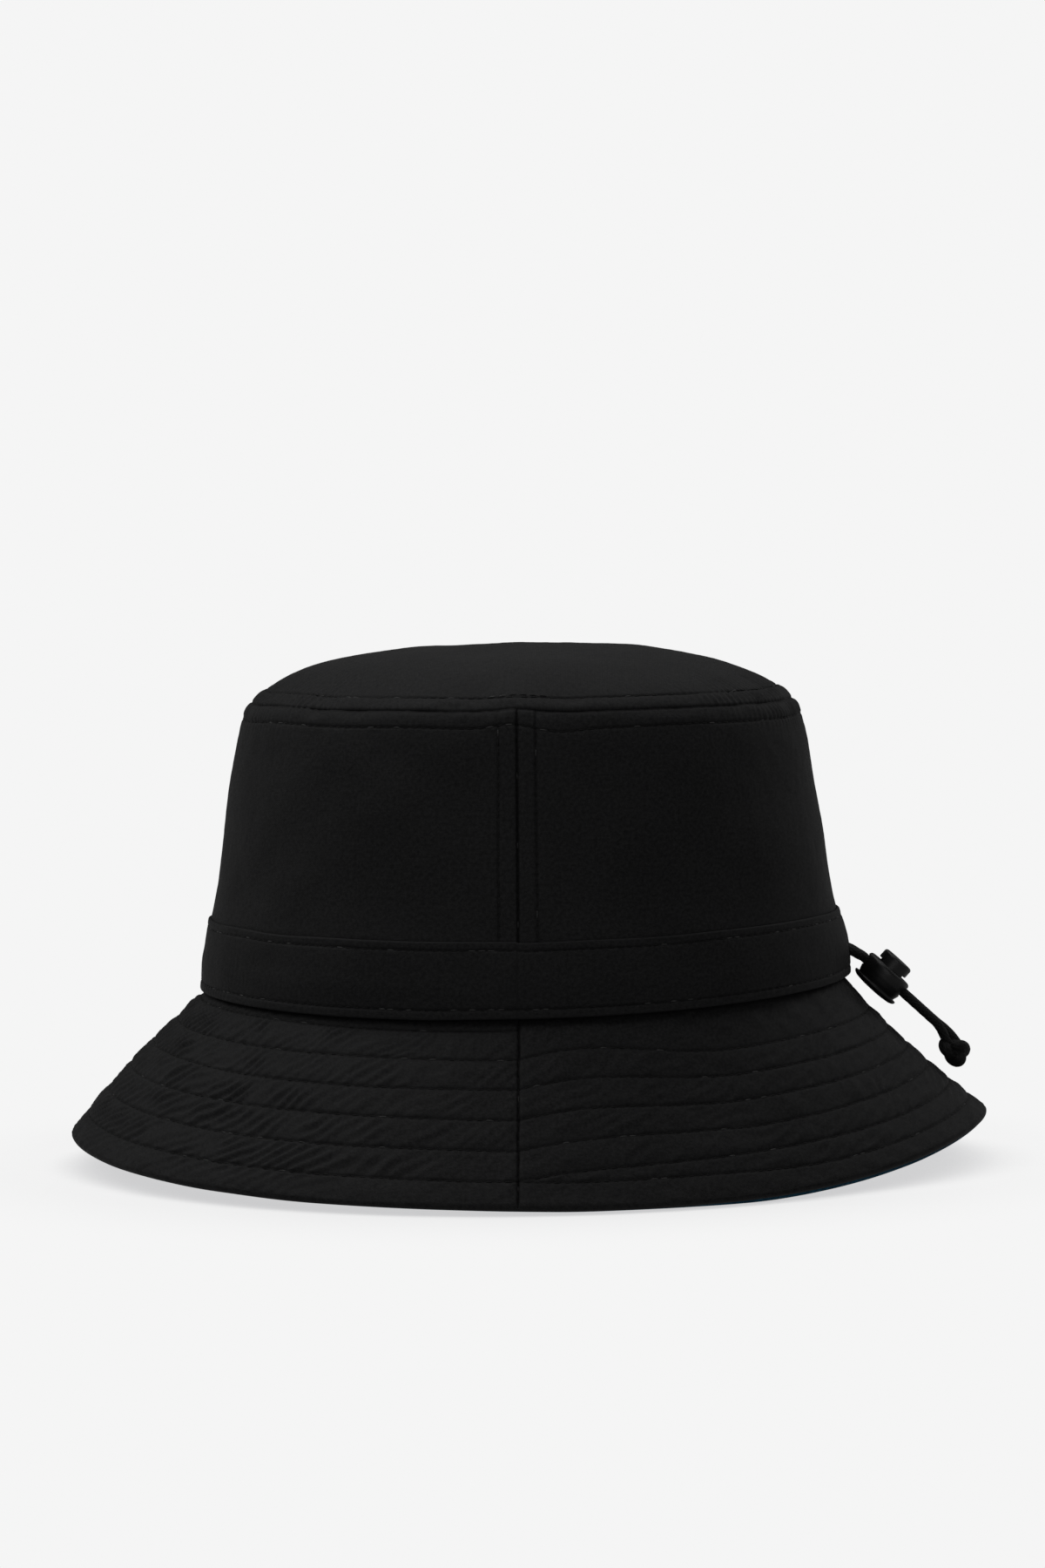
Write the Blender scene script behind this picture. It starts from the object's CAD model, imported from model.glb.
import math

import bmesh
import bpy
import numpy as np
from mathutils import Matrix, Vector


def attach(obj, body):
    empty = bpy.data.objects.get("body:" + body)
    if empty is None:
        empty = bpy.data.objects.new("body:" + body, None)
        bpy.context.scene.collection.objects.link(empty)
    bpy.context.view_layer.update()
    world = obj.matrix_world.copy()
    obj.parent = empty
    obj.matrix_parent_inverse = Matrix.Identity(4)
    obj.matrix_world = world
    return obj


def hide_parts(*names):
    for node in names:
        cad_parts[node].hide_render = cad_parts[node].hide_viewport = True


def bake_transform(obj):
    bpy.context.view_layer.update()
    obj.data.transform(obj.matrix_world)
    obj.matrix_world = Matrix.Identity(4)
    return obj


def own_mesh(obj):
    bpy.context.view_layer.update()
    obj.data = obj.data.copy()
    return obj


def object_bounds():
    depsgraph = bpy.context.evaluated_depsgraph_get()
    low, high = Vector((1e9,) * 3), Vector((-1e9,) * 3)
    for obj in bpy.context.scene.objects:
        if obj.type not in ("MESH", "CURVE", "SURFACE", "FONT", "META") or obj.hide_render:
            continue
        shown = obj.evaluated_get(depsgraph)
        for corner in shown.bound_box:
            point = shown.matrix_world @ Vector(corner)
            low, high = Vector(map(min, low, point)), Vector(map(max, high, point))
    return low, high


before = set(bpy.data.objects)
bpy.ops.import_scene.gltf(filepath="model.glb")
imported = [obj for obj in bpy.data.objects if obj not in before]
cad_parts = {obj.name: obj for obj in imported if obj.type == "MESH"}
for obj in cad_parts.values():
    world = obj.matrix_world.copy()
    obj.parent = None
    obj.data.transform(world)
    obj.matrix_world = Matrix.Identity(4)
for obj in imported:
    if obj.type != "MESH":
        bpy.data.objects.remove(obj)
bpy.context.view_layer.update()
MM = 0.001
FINE = 1.0

# ---------------------------------------------------------------- helpers
_lattice = {}


def vnoise(u, v, seed, period=0):
    """Smooth value noise in -1..1 on a seeded lattice; u repeats after period cells if given."""
    if seed not in _lattice:
        _lattice[seed] = np.random.RandomState(seed).uniform(-1, 1, (256, 256))
    t = _lattice[seed]
    u, v = np.broadcast_arrays(np.asarray(u, float), np.asarray(v, float))
    i, j = np.floor(u).astype(int), np.floor(v).astype(int)
    fu, fv = u - i, v - j
    fu = fu * fu * fu * (fu * (fu * 6 - 15) + 10)
    fv = fv * fv * fv * (fv * (fv * 6 - 15) + 10)
    m = period or 256
    i0, i1, j0, j1 = i % m, (i + 1) % m, j % 256, (j + 1) % 256
    return (t[i0, j0] * (1 - fu) + t[i1, j0] * fu) * (1 - fv) + (
        t[i0, j1] * (1 - fu) + t[i1, j1] * fu
    ) * fv


def sstep(x, lo=0.0, hi=1.0):
    x = np.clip((np.asarray(x, float) - lo) / (hi - lo), 0, 1)
    return x * x * (3 - 2 * x)


def gauss(x, w):
    return np.exp(-((np.asarray(x, float) / w) ** 2))


def bulge(x, lo, hi, power=0.75):
    """Rounded pillow between two seams: 0 outside lo..hi, 1 in the middle."""
    u = np.clip((np.asarray(x, float) - lo) / (hi - lo), 0, 1)
    return np.sin(np.pi * u) ** power


def pchip(x, y, q):
    """Monotone cubic through (x, y), at q."""
    x, y, q = np.asarray(x, float), np.asarray(y, float), np.asarray(q, float)
    h, d = np.diff(x), np.diff(y) / np.diff(x)
    m = np.zeros_like(y)
    m[0], m[-1] = d[0], d[-1]
    for k in range(1, len(x) - 1):
        if d[k - 1] * d[k] > 0:
            w1, w2 = 2 * h[k] + h[k - 1], h[k] + 2 * h[k - 1]
            m[k] = (w1 + w2) / (w1 / d[k - 1] + w2 / d[k])
    i = np.clip(np.searchsorted(x, q) - 1, 0, len(x) - 2)
    t = (q - x[i]) / h[i]
    return (
        (2 * t**3 - 3 * t**2 + 1) * y[i]
        + (t**3 - 2 * t**2 + t) * h[i] * m[i]
        + (-2 * t**3 + 3 * t**2) * y[i + 1]
        + (t**3 - t**2) * h[i] * m[i + 1]
    )


def samples(lo, hi, n, fine=(), width=1.5, gain=4.0):
    """n values from lo to hi, packed closer together near each value in fine."""
    x = np.linspace(lo, hi, 4000)
    density = np.ones_like(x)
    for c in fine:
        density += gain * gauss(x - c, width)
    total = np.concatenate([[0], np.cumsum((density[1:] + density[:-1]) / 2)])
    return np.interp(np.linspace(0, total[-1], max(4, int(n))), total, x)


def mesh_object(name, co, faces, fab=None, smooth=True):
    """A mesh object from points in mm and a list or array of faces."""
    mesh = bpy.data.meshes.new(name)
    co = np.ascontiguousarray(co, dtype=np.float64) * MM
    if isinstance(faces, np.ndarray):
        n, k = faces.shape
        mesh.vertices.add(len(co))
        mesh.vertices.foreach_set("co", co.astype(np.float32).ravel())
        mesh.loops.add(n * k)
        mesh.loops.foreach_set("vertex_index", faces.astype(np.int32).ravel())
        mesh.polygons.add(n)
        mesh.polygons.foreach_set("loop_start", np.arange(0, n * k, k, dtype=np.int32))
        mesh.update(calc_edges=True)
    else:
        mesh.from_pydata([tuple(p) for p in co], [], [list(map(int, f)) for f in faces])
    mesh.validate()
    if fab is not None:
        a = mesh.attributes.new("fab", "FLOAT_VECTOR", "POINT")
        a.data.foreach_set("vector", np.asarray(fab, np.float32).ravel())
    if smooth:
        mesh.polygons.foreach_set("use_smooth", [True] * len(mesh.polygons))
    mesh.update()
    obj = bpy.data.objects.new(name, mesh)
    bpy.context.scene.collection.objects.link(obj)
    return obj


def grid_faces(nu, nv, closed_u=False, closed_v=False):
    iu = np.arange(nu if closed_u else nu - 1)
    jv = np.arange(nv if closed_v else nv - 1)
    i, j = np.meshgrid(iu, jv, indexing="ij")
    i2, j2 = (i + 1) % nu, (j + 1) % nv
    return np.stack(
        [i * nv + j, i2 * nv + j, i2 * nv + j2, i * nv + j2], -1
    ).reshape(-1, 4)


def fix_normals(obj):
    bm = bmesh.new()
    bm.from_mesh(obj.data)
    bmesh.ops.recalc_face_normals(bm, faces=bm.faces)
    bm.to_mesh(obj.data)
    bm.free()
    obj.data.update()


def strip_caps(nu, nv, outer):
    """End caps of a closed section of nv points whose first `outer` points face out."""
    caps = []
    rest = nv - outer
    for base, flip in ((0, False), ((nu - 1) * nv, True)):
        a, b = 0, nv - 1  # walk the two sides of the section together
        while b - a > 1:
            take_a = (a + 1) / outer <= (nv - b) / rest if b > outer else True
            if a + 1 >= b:
                break
            tri = (a, a + 1, b) if take_a else (a, b - 1, b)
            if take_a:
                a += 1
            else:
                b -= 1
            tri = tuple(base + t for t in tri)
            caps.append(tri[::-1] if flip else tri)
    return caps


def shell(name, P, fab, outer=None, closed_u=False):
    """A closed sheet of cloth: P[i, j] runs round the hat in i and round the sheet's section in j."""
    nu, nv = P.shape[:2]
    quads = grid_faces(nu, nv, closed_u, True)
    if closed_u:
        faces = quads
    else:
        faces = [tuple(q) for q in quads] + strip_caps(nu, nv, outer)
    obj = mesh_object(name, P.reshape(-1, 3), faces, fab.reshape(-1, 3))
    fix_normals(obj)
    return obj


def finish_piece(obj, mat, body, slot, *nodes):
    obj.data.materials.clear()
    obj.data.materials.append(mat)
    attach(obj, body)
    if nodes:
        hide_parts(*nodes)
    return obj


# ---------------------------------------------------------------- materials
def links_of(mat):
    mat.use_nodes = True
    t = mat.node_tree
    t.nodes.clear()
    out = t.nodes.new("ShaderNodeOutputMaterial")
    bsdf = t.nodes.new("ShaderNodeBsdfPrincipled")
    t.links.new(bsdf.outputs["BSDF"], out.inputs["Surface"])
    return t, bsdf


def math_node(t, op, a, b=None, c=None):
    n = t.nodes.new("ShaderNodeMath")
    n.operation = op
    for k, x in enumerate((a, b, c)):
        if x is None:
            continue
        if hasattr(x, "is_linked"):
            t.links.new(x, n.inputs[k])
        else:
            n.inputs[k].default_value = x
    return n.outputs[0]


def noise_node(t, vector, scale, detail=3.0, rough=0.55):
    n = t.nodes.new("ShaderNodeTexNoise")
    t.links.new(vector, n.inputs["Vector"])
    n.inputs["Scale"].default_value = scale
    n.inputs["Detail"].default_value = detail
    n.inputs["Roughness"].default_value = rough
    return n.outputs["Fac"]


def cloth_material(name, base, light, pitch=0.42, weave=1.0, rough=0.8, sheen=0.3,
                   sheen_tint=(1, 1, 1), slub=0.5, ribs=0.0, specular=0.35):
    """Woven cloth: threads crossing at pitch mm, slubs, uneven colour, darker creases and paler worn edges."""
    mat = bpy.data.materials.new(name)
    t, bsdf = links_of(mat)
    at = t.nodes.new("ShaderNodeAttribute")
    at.attribute_name = "fab"
    vec = at.outputs["Vector"]
    sep = t.nodes.new("ShaderNodeSeparateXYZ")
    t.links.new(vec, sep.inputs[0])
    u, v, mask = sep.outputs
    flat = t.nodes.new("ShaderNodeCombineXYZ")
    t.links.new(u, flat.inputs[0])
    t.links.new(v, flat.inputs[1])
    flat = flat.outputs[0]
    k = 2 * math.pi / pitch
    warp = math_node(t, "ABSOLUTE", math_node(t, "SINE", math_node(t, "MULTIPLY", u, k / 2)))
    weft = math_node(t, "ABSOLUTE", math_node(t, "SINE", math_node(t, "MULTIPLY", v, k / 2)))
    over = math_node(t, "SINE", math_node(t, "ADD", math_node(t, "MULTIPLY", u, k / 2),
                                          math_node(t, "MULTIPLY", v, k / 2)))
    over = math_node(t, "MULTIPLY_ADD", over, 0.5, 0.5)
    threads = math_node(t, "ADD", math_node(t, "MULTIPLY", warp, over),
                        math_node(t, "MULTIPLY", weft, math_node(t, "SUBTRACT", 1.0, over)))
    coarse = noise_node(t, flat, 0.035, 4)
    middle = noise_node(t, flat, 0.55, 4, 0.65)
    fine = noise_node(t, flat, 2.6, 2, 0.6)
    grain = noise_node(t, flat, 0.9, 4, 0.8)
    height = math_node(t, "ADD", math_node(t, "MULTIPLY", threads, weave),
                       math_node(t, "MULTIPLY", fine, slub))
    height = math_node(t, "ADD", height, math_node(t, "MULTIPLY", middle, slub * 1.3))
    height = math_node(t, "ADD", height, math_node(t, "MULTIPLY", grain, slub * 3.0))
    if ribs:
        rib = math_node(t, "ABSOLUTE", math_node(t, "SINE", math_node(t, "MULTIPLY", u, math.pi / ribs)))
        height = math_node(t, "ADD", height, math_node(t, "MULTIPLY", rib, 5.0))
    bump = t.nodes.new("ShaderNodeBump")
    bump.inputs["Strength"].default_value = 0.6
    bump.inputs["Distance"].default_value = 0.00007
    t.links.new(height, bump.inputs["Height"])
    t.links.new(bump.outputs["Normal"], bsdf.inputs["Normal"])
    share = math_node(t, "ADD", math_node(t, "MULTIPLY", coarse, 0.5), math_node(t, "MULTIPLY", middle, 0.5))
    share = math_node(t, "ADD", share, math_node(t, "MULTIPLY", math_node(t, "SUBTRACT", fine, 0.5), 0.5))
    share = math_node(t, "ADD", share, math_node(t, "MULTIPLY", math_node(t, "SUBTRACT", grain, 0.5), 3.4))
    worn = math_node(t, "MULTIPLY", math_node(t, "MAXIMUM", math_node(t, "MULTIPLY", mask, -1.0), 0.0), 0.35)
    share = math_node(t, "ADD", share, worn)
    ramp = t.nodes.new("ShaderNodeValToRGB")
    ramp.color_ramp.elements[0].position = 0.1
    ramp.color_ramp.elements[0].color = (*base, 1)
    ramp.color_ramp.elements[1].position = 0.9
    ramp.color_ramp.elements[1].color = (*light, 1)
    t.links.new(share, ramp.inputs["Fac"])
    mix = t.nodes.new("ShaderNodeMix")
    mix.data_type = "RGBA"
    mix.blend_type = "MULTIPLY"
    t.links.new(math_node(t, "MINIMUM", math_node(t, "MAXIMUM", mask, 0.0), 1.0), mix.inputs["Factor"])
    t.links.new(ramp.outputs["Color"], mix.inputs[6])
    mix.inputs[7].default_value = (0.25, 0.25, 0.25, 1)
    t.links.new(mix.outputs[2], bsdf.inputs["Base Color"])
    t.links.new(math_node(t, "ADD", math_node(t, "MULTIPLY", middle, 0.16), rough - 0.08), bsdf.inputs["Roughness"])
    bsdf.inputs["Specular IOR Level"].default_value = specular
    bsdf.inputs["Sheen Weight"].default_value = sheen
    bsdf.inputs["Sheen Roughness"].default_value = 0.45
    bsdf.inputs["Sheen Tint"].default_value = (*sheen_tint, 1)
    return mat


def plastic_material(name, base, rough=0.36, grain=0.25):
    """Moulded plastic: fine spark-eroded grain and slight smears in the gloss."""
    mat = bpy.data.materials.new(name)
    t, bsdf = links_of(mat)
    tc = t.nodes.new("ShaderNodeTexCoord")
    vec = tc.outputs["Object"]
    g = noise_node(t, vec, 5200, 3)
    s = noise_node(t, vec, 260, 4)
    bump = t.nodes.new("ShaderNodeBump")
    bump.inputs["Strength"].default_value = grain
    bump.inputs["Distance"].default_value = 0.00003
    t.links.new(g, bump.inputs["Height"])
    t.links.new(bump.outputs["Normal"], bsdf.inputs["Normal"])
    ramp = t.nodes.new("ShaderNodeValToRGB")
    ramp.color_ramp.elements[0].color = (*base, 1)
    ramp.color_ramp.elements[1].color = (*[c * 1.7 for c in base], 1)
    t.links.new(s, ramp.inputs["Fac"])
    t.links.new(ramp.outputs["Color"], bsdf.inputs["Base Color"])
    t.links.new(math_node(t, "ADD", math_node(t, "MULTIPLY", s, 0.18), rough - 0.09), bsdf.inputs["Roughness"])
    bsdf.inputs["Specular IOR Level"].default_value = 0.32
    return mat


def metal_material(name, base, rough, metallic=1.0, coat=0.0):
    mat = bpy.data.materials.new(name)
    t, bsdf = links_of(mat)
    tc = t.nodes.new("ShaderNodeTexCoord")
    s = noise_node(t, tc.outputs["Object"], 900, 4)
    ramp = t.nodes.new("ShaderNodeValToRGB")
    ramp.color_ramp.elements[0].color = (*[c * 0.75 for c in base], 1)
    ramp.color_ramp.elements[1].color = (*base, 1)
    t.links.new(s, ramp.inputs["Fac"])
    t.links.new(ramp.outputs["Color"], bsdf.inputs["Base Color"])
    t.links.new(math_node(t, "ADD", math_node(t, "MULTIPLY", s, 0.2), rough - 0.1), bsdf.inputs["Roughness"])
    bsdf.inputs["Metallic"].default_value = metallic
    bsdf.inputs["Coat Weight"].default_value = coat
    bump = t.nodes.new("ShaderNodeBump")
    bump.inputs["Strength"].default_value = 0.15
    bump.inputs["Distance"].default_value = 0.00002
    t.links.new(s, bump.inputs["Height"])
    t.links.new(bump.outputs["Normal"], bsdf.inputs["Normal"])
    return mat


def braid_material(name, base, light, pitch=1.1, around=9.5):
    """Round braid: two sets of slanting strands crossing, u round the cord and v along it, in mm."""
    mat = bpy.data.materials.new(name)
    t, bsdf = links_of(mat)
    at = t.nodes.new("ShaderNodeAttribute")
    at.attribute_name = "fab"
    sep = t.nodes.new("ShaderNodeSeparateXYZ")
    t.links.new(at.outputs["Vector"], sep.inputs[0])
    u, v, _ = sep.outputs
    a = math_node(t, "ADD", math_node(t, "MULTIPLY", u, 2 * math.pi * 8 / around),
                  math_node(t, "MULTIPLY", v, 2 * math.pi / pitch / 1.6))
    b = math_node(t, "SUBTRACT", math_node(t, "MULTIPLY", u, 2 * math.pi * 8 / around),
                  math_node(t, "MULTIPLY", v, 2 * math.pi / pitch / 1.6))
    sa, sb = math_node(t, "SINE", a), math_node(t, "SINE", b)
    h = math_node(t, "MAXIMUM", sa, sb)
    yarn = math_node(t, "SINE", math_node(t, "MULTIPLY", math_node(t, "ADD", a, b), 3.0))
    h = math_node(t, "ADD", h, math_node(t, "MULTIPLY", yarn, 0.15))
    fine = noise_node(t, at.outputs["Vector"], 3.0, 3)
    h = math_node(t, "ADD", h, math_node(t, "MULTIPLY", fine, 0.5))
    bump = t.nodes.new("ShaderNodeBump")
    bump.inputs["Strength"].default_value = 0.8
    bump.inputs["Distance"].default_value = 0.00012
    t.links.new(h, bump.inputs["Height"])
    t.links.new(bump.outputs["Normal"], bsdf.inputs["Normal"])
    ramp = t.nodes.new("ShaderNodeValToRGB")
    ramp.color_ramp.elements[0].position = 0.1
    ramp.color_ramp.elements[0].color = (*base, 1)
    ramp.color_ramp.elements[1].color = (*light, 1)
    t.links.new(math_node(t, "MULTIPLY_ADD", h, 0.35, 0.3), ramp.inputs["Fac"])
    t.links.new(ramp.outputs["Color"], bsdf.inputs["Base Color"])
    bsdf.inputs["Roughness"].default_value = 0.72
    bsdf.inputs["Specular IOR Level"].default_value = 0.2
    bsdf.inputs["Sheen Weight"].default_value = 0.03
    bsdf.inputs["Sheen Roughness"].default_value = 0.4
    return mat


BLACK = cloth_material("black_cloth", (0.0022, 0.0022, 0.0024), (0.0105, 0.0105, 0.0108), pitch=0.42,
                       weave=1.0, rough=0.62, sheen=0.02, slub=0.6, specular=0.12)
BLUE = cloth_material("blue_cloth", (0.002, 0.022, 0.042), (0.006, 0.05, 0.085), pitch=0.36,
                      weave=0.8, rough=0.7, sheen=0.02, sheen_tint=(0.6, 0.85, 1), slub=0.5, specular=0.1)
STIFF = cloth_material("interlining", (0.5, 0.5, 0.47), (0.68, 0.68, 0.64), pitch=1.1, weave=0.2,
                       rough=0.9, sheen=0.0, slub=2.0)
RIBBED = cloth_material("sweatband_cloth", (0.008, 0.008, 0.009), (0.016, 0.016, 0.017), pitch=0.5,
                        weave=0.8, rough=0.85, sheen=0.15, ribs=1.1)
SATIN = cloth_material("label_cloth", (0.62, 0.62, 0.6), (0.78, 0.78, 0.76), pitch=0.3, weave=0.7,
                       rough=0.45, sheen=0.1, slub=0.3, specular=0.5)
THREAD = cloth_material("thread_black", (0.0018, 0.0018, 0.0018), (0.0045, 0.0045, 0.0045), pitch=0.25, weave=1.6,
                        rough=0.45, sheen=0.0, slub=0.6, specular=0.14)
SHINY = cloth_material("thread_black_shiny", (0.008, 0.008, 0.008), (0.02, 0.02, 0.02), pitch=0.25, weave=1.6,
                       rough=0.3, sheen=0.0, slub=0.6, specular=0.5)
THREAD_BLUE = cloth_material("thread_blue", (0.006, 0.02, 0.032), (0.014, 0.04, 0.06), pitch=0.25,
                             weave=1.6, rough=0.5, sheen=0.1, slub=0.6, specular=0.6)
BRAID = braid_material("cord_braid", (0.002, 0.002, 0.002), (0.0065, 0.0065, 0.0065))
PLASTIC = plastic_material("lock_plastic", (0.003, 0.003, 0.0032), rough=0.4)
EYELET = metal_material("eyelet_metal", (0.05, 0.05, 0.052), 0.35, 0.85, 0.4)
STEEL = metal_material("spring_steel", (0.6, 0.6, 0.62), 0.3)

# ---------------------------------------------------------------- the hat's surfaces, in mm
A0, RATIO, SLANT = 101.8, 0.87, 65.5
CASING_TOP, CORD_LEVEL = 23.8, 8.8
UNDER_GAP, BAND_D = 4.1, 6.15
WALL_TOP, DOME, TIP_R = 94.3, 17.0, 87.2
SEAM_FRONT, SEAM_BACK = (-179.999, -0.001), (0.001, 179.999)


def rad(a):
    return np.radians(a)


def lift(a, z):
    s = np.sin(rad(a))
    return (1.6 * s + 3.65 * s * s) * np.clip(1 - np.asarray(z, float) / 70, 0, 1) ** 1.5


def rim_wave(a):
    """Unevenness of the seam round the top, in mm upwards, with a hump over the side seams."""
    a = np.asarray(a, float) % 360
    side = np.minimum(a, 360 - a)
    return 0.7 * gauss(side, 5.0) + 0.5 * gauss(180 - side, 5.0) + 0.40 * vnoise(a / 20, 0 * a, 47, 18) - 0.25 * gauss(side - 12, 5)


def crown_point(a, r, d, z):
    a, r, d, z = np.broadcast_arrays(a, r, d, z)
    return np.stack([(RATIO * r - d) * np.cos(rad(a)), (r - d) * np.sin(rad(a)),
                     z + lift(a, z) + rim_wave(a) * sstep(z, 80, 93)], -1)


def casing_r(z):
    return 105 - 0.127 * np.asarray(z, float)


def slope_at(a):
    return (50.9 + 0.9 * np.sin(rad(a)) + 4.5 * np.cos(2 * rad(a)) + 2.3 * np.sin(3 * rad(a))
            - 2.3 * np.cos(4 * rad(a)))


def brim_point(a, s, t):
    """A point of the brim: a round the hat in degrees, s down the slope, t below the top surface."""
    a, s, t = np.broadcast_arrays(np.asarray(a, float), np.asarray(s, float), np.asarray(t, float))
    curl = 0.7 + 12.5 * np.sin(rad(a))
    pitch = lambda q: rad(slope_at(a) + curl * (0.5 - q / SLANT))
    out = sum(s / 8 * np.cos(pitch((i + 0.5) / 8 * s)) for i in range(8))
    down = sum(s / 8 * np.sin(pitch((i + 0.5) / 8 * s)) for i in range(8))
    v = pitch(s)
    out, down = out - t * np.sin(v), down + t * np.cos(v)
    return np.stack([(RATIO * A0 + out) * np.cos(rad(a)), (A0 + out) * np.sin(rad(a)),
                     lift(a, 0) - down], -1)


def wall_wave(a, z):
    """Soft dents of the crown wall, shared by the cloth and its lining, in mm outwards."""
    aa = (np.asarray(a, float) + 180) % 360 - 180
    psi = arc_mm(aa, 96)
    side = rad(np.minimum(np.abs(aa), 180 - np.abs(aa))) * 96
    free = sstep(side, 4, 18) * sstep(z, 24, 36) * sstep(WALL_TOP - np.asarray(z, float), 4, 18)
    return free * (0.85 * vnoise(psi / 47 + 30, z / 34, 11) + 0.38 * vnoise(psi / 19 + 3, z / 17, 12))


def tip_wave(x, y, w):
    """Soft dents of the top, shared by the cloth and its lining, in mm upwards."""
    return sstep(w, 7, 26) * (1.0 * vnoise(x / 42 + 50, y / 42 + 50, 21) + 0.38 * vnoise(x / 17 + 50, y / 17 + 50, 22))


def arc_mm(a, r=100.0):
    """Distance round the hat from the left side seam, in mm, near radius r."""
    return rad(a) * r * 0.94


class Profile:
    """An upward profile of the crown, addressed by distance w along it."""

    def __init__(self, z, r, d):
        zz = np.linspace(z[0], z[-1], 900)
        self.z, self.r, self.d = zz, pchip(z, r, zz), pchip(z, d, zz)
        e = self.r - self.d
        self.w = np.concatenate([[0], np.cumsum(np.hypot(np.diff(e), np.diff(zz)))])
        te, tz = np.gradient(e, self.w), np.gradient(zz, self.w)
        n = np.hypot(te, tz)
        self.nr, self.nz = tz / n, -te / n
        self.length = self.w[-1]

    def at(self, a, w, off):
        f = lambda y: np.interp(w, self.w, y)
        return crown_point(a, f(self.r), f(self.d) - off * f(self.nr), f(self.z) + off * f(self.nz))

    def w_of(self, z):
        return np.interp(z, self.z, self.w)


WALL = Profile([0.5, 4.8, 12.8, 21, 25, 33.2, 44.5, 55.8, 67.1, 78.4, 84.1, 88.6, 91.3, 93.1, 94.3],
               [101.8, casing_r(4.8), casing_r(12.8), casing_r(21), 100.95, 99.65, 97.9, 96.05, 94.2, 92.4,
                91.5, 90.35, 89.3, 88.3, 87.45],
               [-0.4, UNDER_GAP, UNDER_GAP, 1.25, 0, 0, 0, 0, 0, 0, 0, 0, 0, 0, 0])


class Tip:
    """The top panel, addressed by distance w inwards from its edge."""

    def __init__(self, r, z, rise):
        q = 1 - np.linspace(0, 1, 3000) ** 1.6
        e, h = r * q, z + rise * np.clip(1 - q**3.3, 0, 1) ** 0.85
        self.w = np.concatenate([[0], np.cumsum(np.hypot(np.diff(e), np.diff(h)))])
        self.e, self.h, self.r = e, h, r
        te, tz = np.gradient(e, self.w), np.gradient(h, self.w)
        n = np.hypot(te, tz)
        self.ne, self.nz = tz / n, -te / n
        self.length = self.w[-1]

    def at(self, a, w, off):
        a, w, off = np.broadcast_arrays(a, w, off)
        f = lambda y: np.interp(w, self.w, y)
        e, h, ne, nz = f(self.e), f(self.h), f(self.ne), f(self.nz)
        g = np.clip(e / 6.0, 0, 1)
        return np.stack([(RATIO * e + off * ne * g) * np.cos(rad(a)), (e + off * ne * g) * np.sin(rad(a)),
                         h + off * nz + lift(a, h) + rim_wave(a) * (1 - sstep(h, WALL_TOP + 2.5, WALL_TOP + 13))], -1)


TIP = Tip(TIP_R + 0.15, WALL_TOP + 0.2, DOME + 0.5)


class Casing:
    """The band's outer surface, addressed by height z above its own lower edge."""

    def at(self, a, z, off):
        a, z, off = np.broadcast_arrays(np.asarray(a, float), np.asarray(z, float), off)
        d = pchip([0, 6.8, 15.8, 23.6], [0, -0.2, -0.2, 0], z)
        wave = 0.28 * vnoise(a / 13 + 30, 0 * z, 41) * (z / 23.6) + 0.35 * vnoise(a / 17 + 9, 0 * z, 42) * (1 - z / 23.6)
        back = 1.2 * gauss(a - 90, 11) * bulge(z, -6, 24, 1.0)
        return crown_point(a, casing_r(z + 0.2), d - off - back, z + 0.2 + wave)


CASING = Casing()

# brim stitching: one thread that runs six turns round the brim, stepping inwards from the left seam
ROW_OUT, ROW_STEP, TURNS = 56.3, 10.5, 6


def row_s(k, a):
    """Distance down the slope of turn k at angle a in 0..360."""
    a = np.asarray(a, float)
    if k == 0:
        base = ROW_OUT + 1.8 * sstep(a, 25, 50) * (1 - sstep(a, 90, 270))
    else:
        turned = 0.58 * (1 - np.exp(-a / 9)) + 0.42 * sstep(a, 60, 300)
        base = ROW_OUT - ROW_STEP * (k - 1 + turned) + (k - 1) * 1.7 * sstep(a, 6, 38) * (1 - sstep(a, 70, 250))
    wobble = 0.45 * vnoise(a / 21 + 7 * k, 0 * a + k * 3.3, 51) * sstep(a, 0, 12) * sstep(360 - a, 0, 12)
    return base + wobble * (0.6 if k else 0.4)


def brim_rows(a):
    """All rows at angles a, sorted, with the brim's two edges: shape (8, ...)."""
    a = np.asarray(a, float) % 360
    rows = np.stack([row_s(k, a) for k in range(TURNS)])
    rows = np.sort(rows, 0)
    return np.concatenate([rows[:1] * 0 - 6.0, rows, rows[:1] * 0 + SLANT + 1.5])


def brim_wave(a, s):
    """Slow unevenness shared by all layers of the brim, in mm upwards."""
    g = sstep(s, 4, 60)
    return (0.9 * vnoise(np.asarray(a) / 24 + 40, s / 60, 61, 15) + 0.35 * vnoise(np.asarray(a) / 9 + 3, s / 30, 62, 40)) * g


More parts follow.
